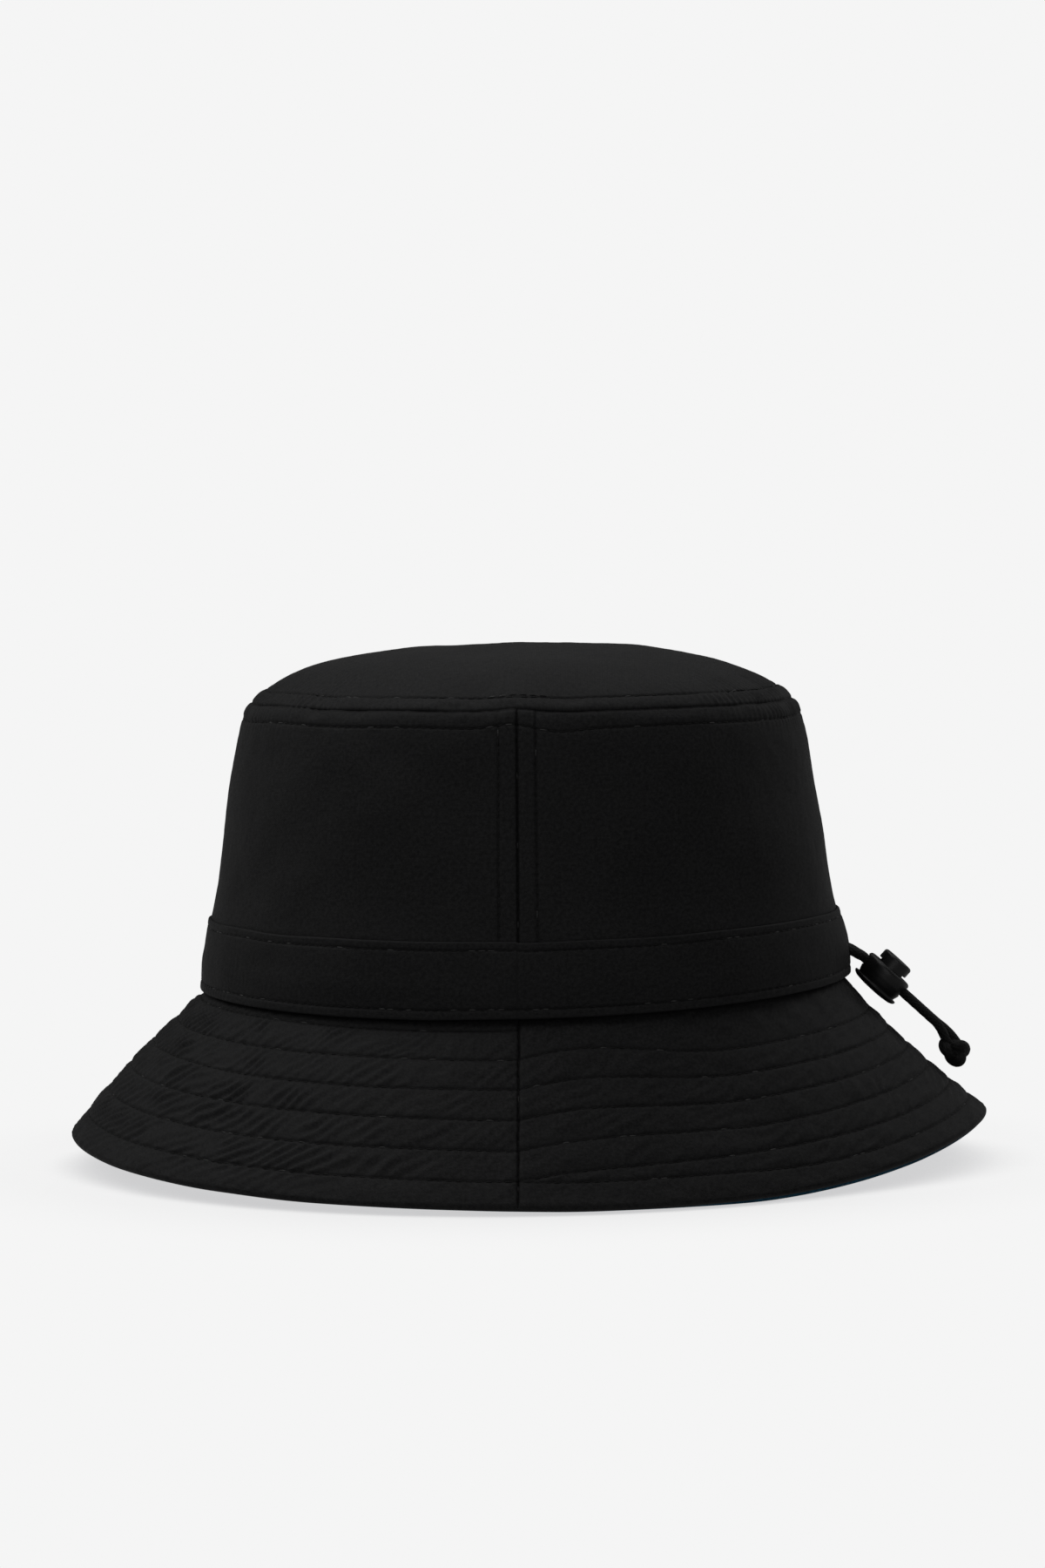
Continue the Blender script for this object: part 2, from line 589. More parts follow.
def brim_relief(a, s, sign=1.0, puckers=1.0):
    """How far the cloth stands off its base surface: pillows between rows, pinched rows, slanting puckers."""
    a, s = np.broadcast_arrays(np.asarray(a, float), np.asarray(s, float))
    rows = brim_rows(a)
    low = np.max(np.where(rows <= s, rows, -50), 0)
    high = np.min(np.where(rows > s, rows, 150), 0)
    band = np.sum(rows <= s, 0)
    width = np.clip(high - low, 0.5, 20)
    u = np.clip((s - low) / width, 0, 1)
    pillow = np.sin(np.pi * u) ** 0.75 * np.clip(width / 10, 0, 1)
    near = np.min(np.abs(rows[1:-1] - s), 0)
    aa = (a + 180) % 360 - 180
    x = arc_mm(aa, 118)
    wide = np.where(x > 0, x - 0.42 * np.maximum(x - 12, 0), x)  # broader puckers towards the back
    w = (wide + 1.1 * s) / 5.5 + band * 0.31 + 0.95 * vnoise(x / 19 + 60, s / 22 + 3, 71) + 0.22 * vnoise(x / 7 + 9, s / 8 + 4 * band, 75)
    ridge = (0.5 + 0.5 * np.cos(2 * np.pi * w)) ** 1.4 - 0.40
    patchy = np.clip(0.85 + 0.8 * vnoise(x / 8 + 20, s / 7 + band * 5.1, 72), 0.1, 1.5)
    place = 0.30 + 0.70 * sstep(-aa, 8, 45) * sstep(aa, -179, -165) + 0.22 * sstep(aa, 30, 70)
    outer = np.where(s > ROW_OUT, 1 - 0.75 * sstep(s, ROW_OUT, ROW_OUT + 4), 1.0)
    inner = np.where(band == 1, 0.55, 1.0)
    pucker = 0.92 * ridge * patchy * place * np.sin(np.pi * u) ** 0.5 * outer * inner * puckers
    small = (0.12 * vnoise(x / 2.6, s / 2.6, 73) + 0.32 * vnoise(x / 6.5 + 77, s / 6 + 7 * band, 76)) * pillow
    side = np.minimum(np.abs(aa), 180 - np.abs(aa))
    seam_x = rad(side) * (A0 + s * 0.72)
    seam = -0.6 * gauss(seam_x, 0.4) + 0.22 * bulge(seam_x, 0, 5.5)
    start = sstep(s, -0.5, 3.0)
    return sign * start * (0.30 * pillow - 0.26 * gauss(near, 0.6) + pucker + small + seam * sstep(SLANT - s, 0.2, 2.0))


# ---------------------------------------------------------------- stitches
def stitches(name, surf, a, w, off, mat, body="hat", slot="black_cloth", pitch=3.0, length=2.45, r=0.19, seed=5, shiny=0.08):
    """Thread lying on surf along each line of (a, w): one small rounded bar for every stitch."""
    rings, sides = 7, 6
    t = np.linspace(-1, 1, rings)
    rr = r * np.sqrt(np.clip(1 - np.abs(t) ** 3.2, 0.0, 1)) + 0.012
    ang = np.linspace(0, 2 * np.pi, sides, endpoint=False)
    tx = np.repeat(t[:, None] * length / 2, sides, 1)
    ty = rr[:, None] * np.cos(ang)[None]
    tz = rr[:, None] * 0.8 * np.sin(ang)[None] - (0.16 * t**2)[:, None]
    template = np.stack([tx, ty, tz], -1).reshape(-1, 3)
    quads = grid_faces(rings, sides, False, True)
    caps = [list(range(sides))[::-1], [(rings - 1) * sides + k for k in range(sides)]]
    tri = []
    for c in caps:
        tri += [[c[0], c[k], c[k + 1]] for k in range(1, sides - 1)]
    tri = np.array(tri)
    rng = np.random.RandomState(seed)
    co, fa, fb, fab = [], [], [], []
    count = 0
    for aa, ww in zip(a, w):
        P = surf(aa, ww, off(aa, ww))
        N = surf(aa, ww, off(aa, ww) + 1.0) - P
        N /= np.linalg.norm(N, axis=-1, keepdims=True)
        L = np.concatenate([[0], np.cumsum(np.linalg.norm(np.diff(P, axis=0), axis=1))])
        n = max(1, int(L[-1] / pitch))
        c = (np.arange(n) + 0.5) * L[-1] / n + rng.uniform(-0.12, 0.12, n)
        at = lambda q, Y: np.stack([np.interp(q, L, Y[:, i]) for i in range(3)], -1)
        C, Nn = at(c, P), at(c, N)
        T = at(c + 0.8, P) - at(c - 0.8, P)
        T /= np.linalg.norm(T, axis=-1, keepdims=True) + 1e-12
        B = np.cross(Nn, T)
        B /= np.linalg.norm(B, axis=-1, keepdims=True) + 1e-12
        T = T + B * rng.uniform(-0.05, 0.05, n)[:, None]
        T /= np.linalg.norm(T, axis=-1, keepdims=True)
        Nn = np.cross(T, B)
        sc = rng.uniform(0.93, 1.05, n)
        pts = (C[:, None] + template[None, :, 0:1] * T[:, None] * sc[:, None, None]
               + template[None, :, 1:2] * B[:, None] + template[None, :, 2:3] * Nn[:, None])
        pts += Nn[:, None] * rng.uniform(-0.03, 0.03, n)[:, None, None]
        m = len(template)
        for k in range(n):
            co.append(pts[k])
            fa.append(quads + (count + k) * m)
            fb.append(tri + (count + k) * m)
            fab.append(np.stack([template[:, 0] + 3.3 * k + 0.6 * template[:, 1], template[:, 1] * 3 - template[:, 0], 0 * template[:, 0]], -1))
        count += n
    faces = [tuple(f) for f in np.concatenate(fa)] + [tuple(f) for f in np.concatenate(fb)]
    obj = mesh_object(name, np.concatenate(co), faces, np.concatenate(fab))
    finish_piece(obj, mat, body, slot)
    if mat is THREAD:  # a few stitches catch the light
        obj.data.materials.append(SHINY)
        bright = (rng.uniform(0, 1, count) < shiny).astype(int)
        which = [bright[f[0] // len(template)] for f in faces]
        obj.data.polygons.foreach_set("material_index", which)
    return obj


def rim_row(a):
    """Distance of the crown wall's upper stitching from the top seam, with its jog at the left seam."""
    aa = (np.asarray(a, float) + 180) % 360 - 180
    return 5.6 + 0.3 * vnoise((aa % 360) / 17, 0 * aa, 46, 21) - 0.8 * gauss(aa + 1.5, 4) + 1.1 * gauss(aa - 8.5, 5)


# ---------------------------------------------------------------- crown wall
def wall_relief(a, w):
    aa = (np.asarray(a, float) + 180) % 360 - 180
    aa, w = np.broadcast_arrays(aa, np.asarray(w, float))
    side = np.minimum(np.abs(aa), 180 - np.abs(aa))
    radius = np.interp(w, WALL.w, WALL.r - WALL.d)
    x = rad(side) * radius
    top = WALL.length - w
    psi = arc_mm(aa, 96)
    above = sstep(w, WALL.w_of(24.0), WALL.w_of(34.0))
    rel = -0.6 * gauss(x, 0.4) + 0.24 * bulge(x, 0, 5.9, 0.6) - 0.28 * gauss(x - 5.9, 0.5)
    rel = rel * sstep(top, -0.5, 1.0)
    rel += -0.3 * gauss(top, 0.5) + 0.28 * bulge(top, 0, 5.6, 0.8) - 0.30 * gauss(top - rim_row(aa), 0.5)
    rel += 0.26 * vnoise(psi / 8 + 61, top / 5, 17) * gauss(top - 3.0, 3.6)
    free = sstep(np.minimum(x, top), 4, 16)
    rel += wall_wave(aa, np.interp(w, WALL.w, WALL.z)) + free * above * 0.09 * vnoise(psi / 6, w / 7, 13)
    ends = 0.25 + 0.75 * sstep(np.abs(np.sin(rad(aa))), 0.72, 0.93)
    pleat = (0.5 + 0.5 * np.cos(2 * np.pi * (psi / 2.7 + 0.6 * vnoise(psi / 9, w / 9, 14)))) - 0.4
    rel += 0.5 * ends * pleat * gauss(top - 3.5, 4.6) * np.clip(0.6 + 0.8 * vnoise(psi / 7 + 8, top / 9, 15), 0, 1.2)
    rel += 0.05 * vnoise(psi / 2.0, w / 2.0, 16)
    return rel


def wall_panel(name, lo, hi, node):
    n = 400 * FINE
    a = samples(lo, hi, n, (lo, hi, lo + 3.5, hi - 3.5), 0.7, 3.0)
    low, high = WALL.w_of(19.0), WALL.length
    w = np.concatenate([np.linspace(0, low, 8)[:-1],
                        samples(low, high, 120 * FINE, (high, high - 5.6, high - 3), 1.2, 3.0)])
    A, W = np.meshgrid(a, w, indexing="ij")
    rel = wall_relief(A, W) * sstep(W, low * 0.7, low)
    outer = WALL.at(A, W, rel)
    tuck = np.stack([crown_point(a, r, 0, z) for r, z in ((86.8, 94.85), (86.1, 95.1), (85.4, 95.35), (85.2, 95.05), (85.9, 94.6))], 1)
    wi = np.linspace(WALL.length - 0.9, 0.1, 26)
    A2, W2 = np.meshgrid(a, wi, indexing="ij")
    inner = WALL.at(A2, W2, -0.85 + wall_wave(A2, np.interp(W2, WALL.w, WALL.z)))
    P = np.concatenate([outer, tuck, inner], 1)
    At = np.repeat(a[:, None], tuck.shape[1], 1)
    side = rad(np.minimum(np.abs(A), 180 - np.abs(A))) * 96
    crease = 0.85 * gauss(side, 0.35) + 0.6 * gauss(WALL.length - W, 0.4)
    crease += 0.85 * gauss(WALL.length - W - rim_row(A), 0.45) + 0.5 * gauss(side - 5.9, 0.4)
    fo = np.stack([arc_mm(A, 96), W, np.clip(crease, 0, 1)], -1)
    ft = np.stack([arc_mm(At, 96), 0 * At + WALL.length, 0 * At + 0.5], -1)
    fi = np.stack([arc_mm(A2, 96), W2, 0 * W2], -1)
    obj = shell(name, P, np.concatenate([fo, ft, fi], 1), outer.shape[1] + 3)
    return finish_piece(obj, BLACK, "hat", "black_cloth", node)


wall_panel("crown_wall_front", *SEAM_FRONT, "crown_front")
wall_panel("crown_wall_back", *SEAM_BACK, "crown_back")

# ---------------------------------------------------------------- top panel


def tip_relief(a, w):
    a, w = np.broadcast_arrays(np.asarray(a, float), np.asarray(w, float))
    e = np.interp(w, TIP.w, TIP.e)
    X, Y = RATIO * e * np.cos(rad(a)), e * np.sin(rad(a))
    aa = (a + 180) % 360 - 180
    rel = -0.3 * gauss(w, 0.5) + 0.30 * bulge(w, 0, 6.2, 0.8) - 0.30 * gauss(w - 6.2 + 0.7 * gauss(aa, 5), 0.5)
    rel += tip_wave(X, Y, w) + sstep(w, 7, 26) * 0.09 * vnoise(X / 7 + 50, Y / 7 + 50, 23)
    psi = rad(a) * 82
    rel += 0.24 * vnoise(psi / 8 + 31, w / 5, 28) * gauss(w - 3.2, 3.6)
    ends = 0.15 + 0.85 * sstep(np.abs(np.sin(rad(a))), 0.55, 0.85)
    pleat = (0.5 + 0.5 * np.cos(2 * np.pi * (psi / 2.7 + 0.7 * vnoise(psi / 9 + 80, w / 14, 24)))) - 0.4
    rel += 0.6 * ends * pleat * (gauss(w - 3.2, 3.4) + 0.7 * gauss(w - 11, 8)) * np.clip(
        0.6 + 0.8 * vnoise(psi / 8 + 80, w / 12, 25), 0, 1.2)
    rel += 0.05 * vnoise(X / 2 + 90, Y / 2 + 90, 26)
    return rel


def tip_piece():
    n = int(700 * FINE)
    a = np.linspace(0, 360, n, endpoint=False)
    w = np.concatenate([samples(0, TIP.length - 6.0, 105 * FINE, (0, 6.2, 3), 1.3, 3.0), TIP.length - np.array([4.2, 2.4, 1.0])])
    A, W = np.meshgrid(a, w, indexing="ij")
    rel = tip_relief(A, W)
    outer = TIP.at(A, W, rel)
    wi = w[::-1][::5]
    A2, W2 = np.meshgrid(a, wi, indexing="ij")
    E2 = np.interp(W2, TIP.w, TIP.e)
    inner = TIP.at(A2, np.maximum(W2, 0.6), -0.85 + tip_wave(RATIO * E2 * np.cos(rad(A2)), E2 * np.sin(rad(A2)), W2))
    nu, no = outer.shape[:2]
    ni = inner.shape[1]
    P = np.concatenate([outer, inner], 1)
    nv = no + ni
    i = np.arange(nu)
    i2 = (i + 1) % nu
    quads = []
    for j in list(range(no - 1)) + list(range(no, nv - 1)) + [nv - 1]:
        j2 = (j + 1) % nv
        quads.append(np.stack([i * nv + j, i2 * nv + j, i2 * nv + j2, i * nv + j2], -1))
    quads = np.concatenate(quads)
    c0, c1 = nu * nv, nu * nv + 1
    tris = [(int(p) * nv + no - 1, int(q) * nv + no - 1, c0) for p, q in zip(i, i2)]
    tris += [(int(q) * nv + no, int(p) * nv + no, c1) for p, q in zip(i, i2)]
    top = TIP.at(0.0, TIP.length, float(tip_relief(0.0, TIP.length)))
    co = np.concatenate([P.reshape(-1, 3), [top, top - [0, 0, 0.85]]])
    crease = 0.6 * gauss(W, 0.5) + 0.95 * gauss(W - 6.2 + 0.8 * gauss((A + 180) % 360 - 180, 5), 0.7)
    fo = np.stack([outer[..., 1], outer[..., 0], crease], -1)
    fi = np.stack([inner[..., 1], inner[..., 0], 0 * inner[..., 0]], -1)
    fab = np.concatenate([np.concatenate([fo, fi], 1).reshape(-1, 3), [[0, 0, 0], [0, 0, 0]]])
    obj = mesh_object("crown_top_panel", co, [tuple(q) for q in quads] + tris, fab)
    fix_normals(obj)
    return finish_piece(obj, BLACK, "hat", "black_cloth", "crown_top")


tip_piece()

# ---------------------------------------------------------------- band


def casing_relief(a, z):
    a, z = np.broadcast_arrays(np.asarray(a, float), np.asarray(z, float))
    aa = (a + 180) % 360 - 180
    psi = arc_mm(aa, 102)
    top = 23.6 - z
    rel = 0.30 * bulge(z, 2.9, 21.1, 0.6) - 0.26 * gauss(z - 2.9, 0.45) - 0.24 * gauss(top - 2.5, 0.42)
    rel += 0.14 * bulge(z, -1, 2.9) + 0.12 * bulge(top, -1, 2.5)
    rel += 0.32 * gauss(z - 9.5, 3.2) * (0.5 + 0.5 * vnoise(psi / 25 + 12, 0 * z, 31))
    gather = (0.5 + 0.5 * np.cos(2 * np.pi * (psi / 2.9 + 1.1 * vnoise(psi / 9 + 5, z / 12, 32)))) - 0.45
    patch = np.clip(0.5 + 0.9 * vnoise(psi / 11 + 2, z / 9, 33), 0, 1.2)
    rel += gather * patch * (0.16 * gauss(z - 1.6, 1.9) + 0.06 * bulge(z, 2.9, 21.1) + 0.06 * gauss(top - 1.5, 2.0))
    rel += 0.30 * vnoise(psi / 14 + 31, z / 15, 34) * bulge(z, 1, 22.5) + 0.04 * vnoise(psi / 2, z / 2, 35)
    x = rad(np.abs(aa)) * 103
    rel += (-0.22 * gauss(x, 0.5) + 0.10 * bulge(x, 0, 4)) * (0.35 + 0.65 * gauss(z - 14.5, 3.0)) * bulge(z, 2.0, 22, 0.5)
    for sx in (-1, 1):
        dist = np.hypot(psi - arc_mm(90, 102) + sx * 4.6, (z - CORD_LEVEL + 0.2) * 1.0)
        rel += -0.25 * gauss(dist - 2.6, 1.2)
    return rel


def casing_piece():
    a = samples(0.0, 360.0, 900 * FINE, (86.5, 93.5), 2.5, 2.0)[:-1]
    z = samples(0.45, 23.15, 52 * FINE, (2.9, 21.1, 0.5, 23.1), 0.8, 2.0)
    turn = np.radians(np.linspace(0, 180, 9))[1:-1]
    A, Z = np.meshgrid(a, z, indexing="ij")
    rel = casing_relief(A, Z)
    outer = CASING.at(A, Z, rel)
    th = 1.0

    def fold(centre, sign):
        A1, T1 = np.meshgrid(a, turn, indexing="ij")
        base = casing_relief(A1, centre + 0 * A1)
        return CASING.at(A1, centre + sign * 0.55 * np.sin(T1), base - th / 2 + th / 2 * np.cos(T1)), A1, T1

    top, A1, T1 = fold(23.15, 1)
    bottom, A3, T3 = fold(0.45, -1)
    zi = np.linspace(23.1, 0.5, 9)
    A2, Z2 = np.meshgrid(a, zi, indexing="ij")
    inner = CASING.at(A2, Z2, -0.95 + 0 * A2)
    P = np.concatenate([outer, top, inner, bottom[:, ::-1]], 1)
    crease = np.clip(0.9 * gauss(casing_relief(A, Z) + 0.35, 0.18), 0, 1)
    worn = -0.8 * np.sin(T1)
    fab = np.concatenate([
        np.stack([arc_mm(A, 102), Z, crease - 0.3 * gauss(Z - 0.4, 0.5)], -1),
        np.stack([arc_mm(A1, 102), 23.2 + T1, worn], -1),
        np.stack([arc_mm(A2, 102), Z2, 0 * Z2], -1),
        np.stack([arc_mm(A3, 102), -T3[:, ::-1], -0.8 * np.sin(T3)], -1)], 1)
    return shell("band_casing", P, fab, None, closed_u=True)


band = casing_piece()
pivot = Vector((0, 106.8, 13.0917))


def cut_round_holes(obj, spots, radius, depth=14.0):
    """Cuts the cord's two holes through the back of the band."""
    for k, x in enumerate(spots):
        bm = bmesh.new()
        bmesh.ops.create_cone(bm, cap_ends=True, segments=48, radius1=radius * MM, radius2=radius * MM, depth=depth * MM)
        m = bpy.data.meshes.new(f"hole_{k}")
        bm.to_mesh(m)
        bm.free()
        tool = bpy.data.objects.new(f"hole_{k}", m)
        bpy.context.scene.collection.objects.link(tool)
        tool.matrix_world = (Matrix.Translation(Vector((x, 104.0, pivot.z)) * MM)
                             @ Matrix.Rotation(math.radians(-x * 3.4 / 4.5), 4, "Z")
                             @ Matrix.Rotation(math.radians(-83.5), 4, "X"))
        mod = obj.modifiers.new("hole", "BOOLEAN")
        mod.operation = "DIFFERENCE"
        mod.solver = "EXACT"
        mod.object = tool
        bpy.context.view_layer.update()
        dg = bpy.context.evaluated_depsgraph_get()
        new = bpy.data.meshes.new_from_object(obj.evaluated_get(dg))
        obj.modifiers.clear()
        obj.data = new
        bpy.data.objects.remove(tool)
    obj.data.polygons.foreach_set("use_smooth", [True] * len(obj.data.polygons))


cut_round_holes(band, (-4.5, 4.5), 2.35)
finish_piece(band, BLACK, "hat", "black_cloth", "cord_casing")

# ---------------------------------------------------------------- brim


def brim_base(a, s, t):
    P = brim_point(a, s, np.asarray(t, float) - brim_wave(a, s))
    return P


def brim_grid(a, lo, hi, n):
    """Grid of (a, s) whose lines crowd along the stitching rows."""
    q = np.linspace(lo, hi, 700)
    rows = brim_rows(a)[1:-1]
    Sg = np.empty((len(a), int(n)))
    for i in range(len(a)):
        density = 1 + 2.6 * np.max(gauss(q[None] - rows[:, i, None], 1.1), 0)
        total = np.concatenate([[0], np.cumsum((density[1:] + density[:-1]) / 2)])
        Sg[i] = np.interp(np.linspace(0, total[-1], int(n)), total, q)
    return np.repeat(a[:, None], int(n), 1), Sg


def brim_top_panel(name, lo, hi, node):
    a = samples(lo, hi, 560 * FINE, (lo, hi), 1.0, 3.0)
    A, Sg = brim_grid(a, -1.3, SLANT - 1.25, 118 * FINE)
    rel = brim_relief(A, Sg)
    outer = brim_base(A, Sg, -rel)
    turn = np.radians(np.linspace(0, 104, 10))[1:]
    A1, T1 = np.meshgrid(a, turn, indexing="ij")
    last = rel[:, -1:]
    fade = 1 - T1 / turn[-1]
    edge = brim_base(A1, SLANT - 1.25 + 1.3 * np.sin(T1), 1.25 - (1.25 + last * fade) * np.cos(T1))
    inner_turn = turn[::-1][:6]
    A2, T2 = np.meshgrid(a, inner_turn, indexing="ij")
    inside = brim_base(A2, SLANT - 1.25 + 0.7 * np.sin(T2), 1.25 - 0.6 * np.cos(T2))
    si = np.linspace(SLANT - 1.6, 0.8, 24)
    A3, S3 = np.meshgrid(a, si, indexing="ij")
    under = brim_base(A3, S3, 0.62 + 0 * A3)
    P = np.concatenate([outer, edge, inside, under], 1)
    near = np.min(np.abs(brim_rows(A)[1:-1] - Sg), 0)
    fab = np.concatenate([
        np.stack([arc_mm(A, 118), Sg, 0.8 * gauss(near, 0.42) + 0.85 * gauss(rad(np.minimum(np.abs(A), 180 - np.abs(A))) * 130, 0.35)], -1),
        np.stack([arc_mm(A1, 118), SLANT + T1, -0.6 * np.sin(T1)], -1),
        np.stack([arc_mm(A2, 118), SLANT + T2, 0 * T2], -1),
        np.stack([arc_mm(A3, 118), S3, 0 * S3], -1)], 1)
    obj = shell(name, P, fab, outer.shape[1] + edge.shape[1])
    return finish_piece(obj, BLACK, "hat", "black_cloth", node)


def edge_roll(a):
    """How far the blue underside rolls out at the brim's edge, in mm."""
    aa = (np.asarray(a, float) + 180) % 360 - 180
    return 0.3 + 1.6 * sstep(aa, 12, 36) * sstep(-aa, -86, -55) + 0.15 * vnoise(aa / 12 + 30, 0 * aa, 81)


def brim_under_panel(name, lo, hi, node):
    a = samples(lo, hi, 420 * FINE, (lo, hi), 1.0, 3.0)
    A, Sg = brim_grid(a, 0.8, SLANT - 1.3, 92 * FINE)
    rel = brim_relief(A, Sg, 1.0, 0.6) * 0.75
    lower = brim_base(A, Sg, 2.55 + rel)
    turn = np.radians(np.linspace(180, 106, 9))[1:]
    A1, T1 = np.meshgrid(a, turn, indexing="ij")
    last, fade = rel[:, -1:], (T1 - turn[-1]) / np.pi
    roll = edge_roll(A1) * np.sin((np.pi - T1) / (np.pi - turn[-1]) * np.pi * 0.55)
    edge = brim_base(A1, SLANT - 1.3 + (1.15 + roll * 0.3) * np.sin(T1), 1.3 - (1.25 + last * fade + roll * 0.35) * np.cos(T1) + roll * 0.5)
    inner_turn = turn[::-1][:5]
    A2, T2 = np.meshgrid(a, inner_turn, indexing="ij")
    inside = brim_base(A2, SLANT - 1.5 + 0.55 * np.sin(T2), 1.3 - 0.5 * np.cos(T2))
    si = np.linspace(SLANT - 1.8, 0.8, 22)
    A3, S3 = np.meshgrid(a, si, indexing="ij")
    over = brim_base(A3, S3, 1.9 + 0 * A3)
    P = np.concatenate([lower, edge, inside, over], 1)
    near = np.min(np.abs(brim_rows(A)[1:-1] - Sg), 0)
    fab = np.concatenate([
        np.stack([arc_mm(A, 118), Sg, 0.5 * gauss(near, 0.5)], -1),
        np.stack([arc_mm(A1, 118), SLANT + T1, 0 * T1], -1),
        np.stack([arc_mm(A2, 118), SLANT + T2, 0 * T2], -1),
        np.stack([arc_mm(A3, 118), S3, 0 * S3], -1)], 1)
    obj = shell(name, P, fab, lower.shape[1] + edge.shape[1])
    return finish_piece(obj, BLUE, "hat", "blue_cloth", node)


def interlining(name, lo, hi, node):
    a = np.linspace(lo, hi, 120)
    s = np.linspace(2, SLANT - 4, 20)
    A, Sg = np.meshgrid(a, s, indexing="ij")
    P = np.concatenate([brim_base(A, Sg, 0.98), brim_base(A, Sg[:, ::-1], 1.5)], 1)
    fab = np.stack([arc_mm(np.concatenate([A, A], 1), 118), np.concatenate([Sg, Sg[:, ::-1]], 1), 0 * P[..., 0]], -1)
    obj = shell(name, P, fab, len(s))
    return finish_piece(obj, STIFF, "hat", "interlining", node)


for side, span in (("front", SEAM_FRONT), ("back", SEAM_BACK)):
    brim_top_panel(f"brim_outer_{side}", *span, f"brim_top_{side}")
    brim_under_panel(f"brim_underside_{side}", *span, f"brim_under_{side}")
    interlining(f"brim_stiffener_{side}", *span, f"brim_interlining_{side}")

# ---------------------------------------------------------------- lining, sweatband, label
LINING = Profile([3.8, 11.8, 19.8, 33, 44.5, 67.1, 78.4, 84.1, 88.2, 91.4, 93.0],
                 [casing_r(4.8) - UNDER_GAP - 1.1, casing_r(12.8) - UNDER_GAP - 1.1, casing_r(21) - 2.5, 98.6, 96.75,
                  93.05, 91.2, 90.2, 88.7, 87.0, 85.3], [0] * 11)


def lining_panel(name, lo, hi, node):
    a = samples(lo, hi, 260 * FINE, (lo, hi), 1.0, 3.0)
    w = np.linspace(0, LINING.length, int(90 * FINE))
    A, W = np.meshgrid(a, w, indexing="ij")
    psi = arc_mm(A, 92)
    free = sstep(W, 18, 32) * sstep(LINING.length - W, 1, 12)
    side = np.minimum(np.abs(A), 180 - np.abs(A))
    x = rad(side) * 92
    sag = free * (0.7 + 0.7 * vnoise(psi / 26 + 40, W / 22, 91) + 0.35 * vnoise(psi / 9 + 40, W / 9, 92)) * sstep(x, 0.5, 8)
    wave = wall_wave(A, np.interp(W, LINING.w, LINING.z))
    inner = LINING.at(A, W, wave - 0.5 - np.clip(sag, 0, 2.2) + 0.25 * gauss(x, 0.5))
    outer = LINING.at(A, W, wave - 0.05)
    P = np.concatenate([inner, outer[:, ::-1]], 1)
    fab = np.stack([arc_mm(np.concatenate([A, A], 1), 92), np.concatenate([W, W[:, ::-1]], 1), 0 * P[..., 0]], -1)
    obj = shell(name, P, fab, len(w))
    return finish_piece(obj, BLUE, "hat", "blue_cloth", node)


lining_panel("lining_wall_front", *SEAM_FRONT, "lining_front")
lining_panel("lining_wall_back", *SEAM_BACK, "lining_back")

LTIP = Tip(TIP_R - 1.6, WALL_TOP - 1.0, DOME)


def lining_top():
    n = int(320 * FINE)
    a = np.linspace(0, 360, n, endpoint=False)
    w = np.concatenate([np.linspace(0, LTIP.length - 5, int(60 * FINE)), [LTIP.length - 2.5]])
    A, W = np.meshgrid(a, w, indexing="ij")
    e = np.interp(W, LTIP.w, LTIP.e)
    X, Y = e * np.cos(rad(A)), e * np.sin(rad(A))
    sag = np.clip(0.9 + 0.9 * vnoise(X / 28 + 60, Y / 28 + 60, 93) + 0.4 * vnoise(X / 11 + 60, Y / 11 + 60, 94), 0, 3)
    wave = tip_wave(RATIO * e * np.cos(rad(A)), e * np.sin(rad(A)), W)
    lower = LTIP.at(A, W, wave - 0.5 - sag * sstep(W, 2, 16))
    upper = LTIP.at(A, W, wave - 0.1)
    P = np.concatenate([lower, upper[:, ::-1]], 1)
    nu, nv, no = len(a), P.shape[1], len(w)
    i = np.arange(nu)
    i2 = (i + 1) % nu
    faces = []
    for j in list(range(no - 1)) + list(range(no, nv)):
        j2 = (j + 1) % nv
        faces += [tuple(f) for f in np.stack([i * nv + j, i2 * nv + j, i2 * nv + j2, i * nv + j2], -1)]
    c0, c1 = nu * nv, nu * nv + 1
    faces += [(int(p) * nv + no - 1, int(q) * nv + no - 1, c0) for p, q in zip(i, i2)]
    faces += [(int(q) * nv + no, int(p) * nv + no, c1) for p, q in zip(i, i2)]
    centre = LTIP.at(0.0, LTIP.length, 0.0)
    co = np.concatenate([P.reshape(-1, 3), [centre - [0, 0, 1.4], centre]])
    fab = np.stack([co[:, 1], co[:, 0], 0 * co[:, 0]], -1)
    obj = mesh_object("lining_top_panel", co, faces, fab)
    fix_normals(obj)
    return finish_piece(obj, BLUE, "hat", "blue_cloth", "lining_top")


lining_top()


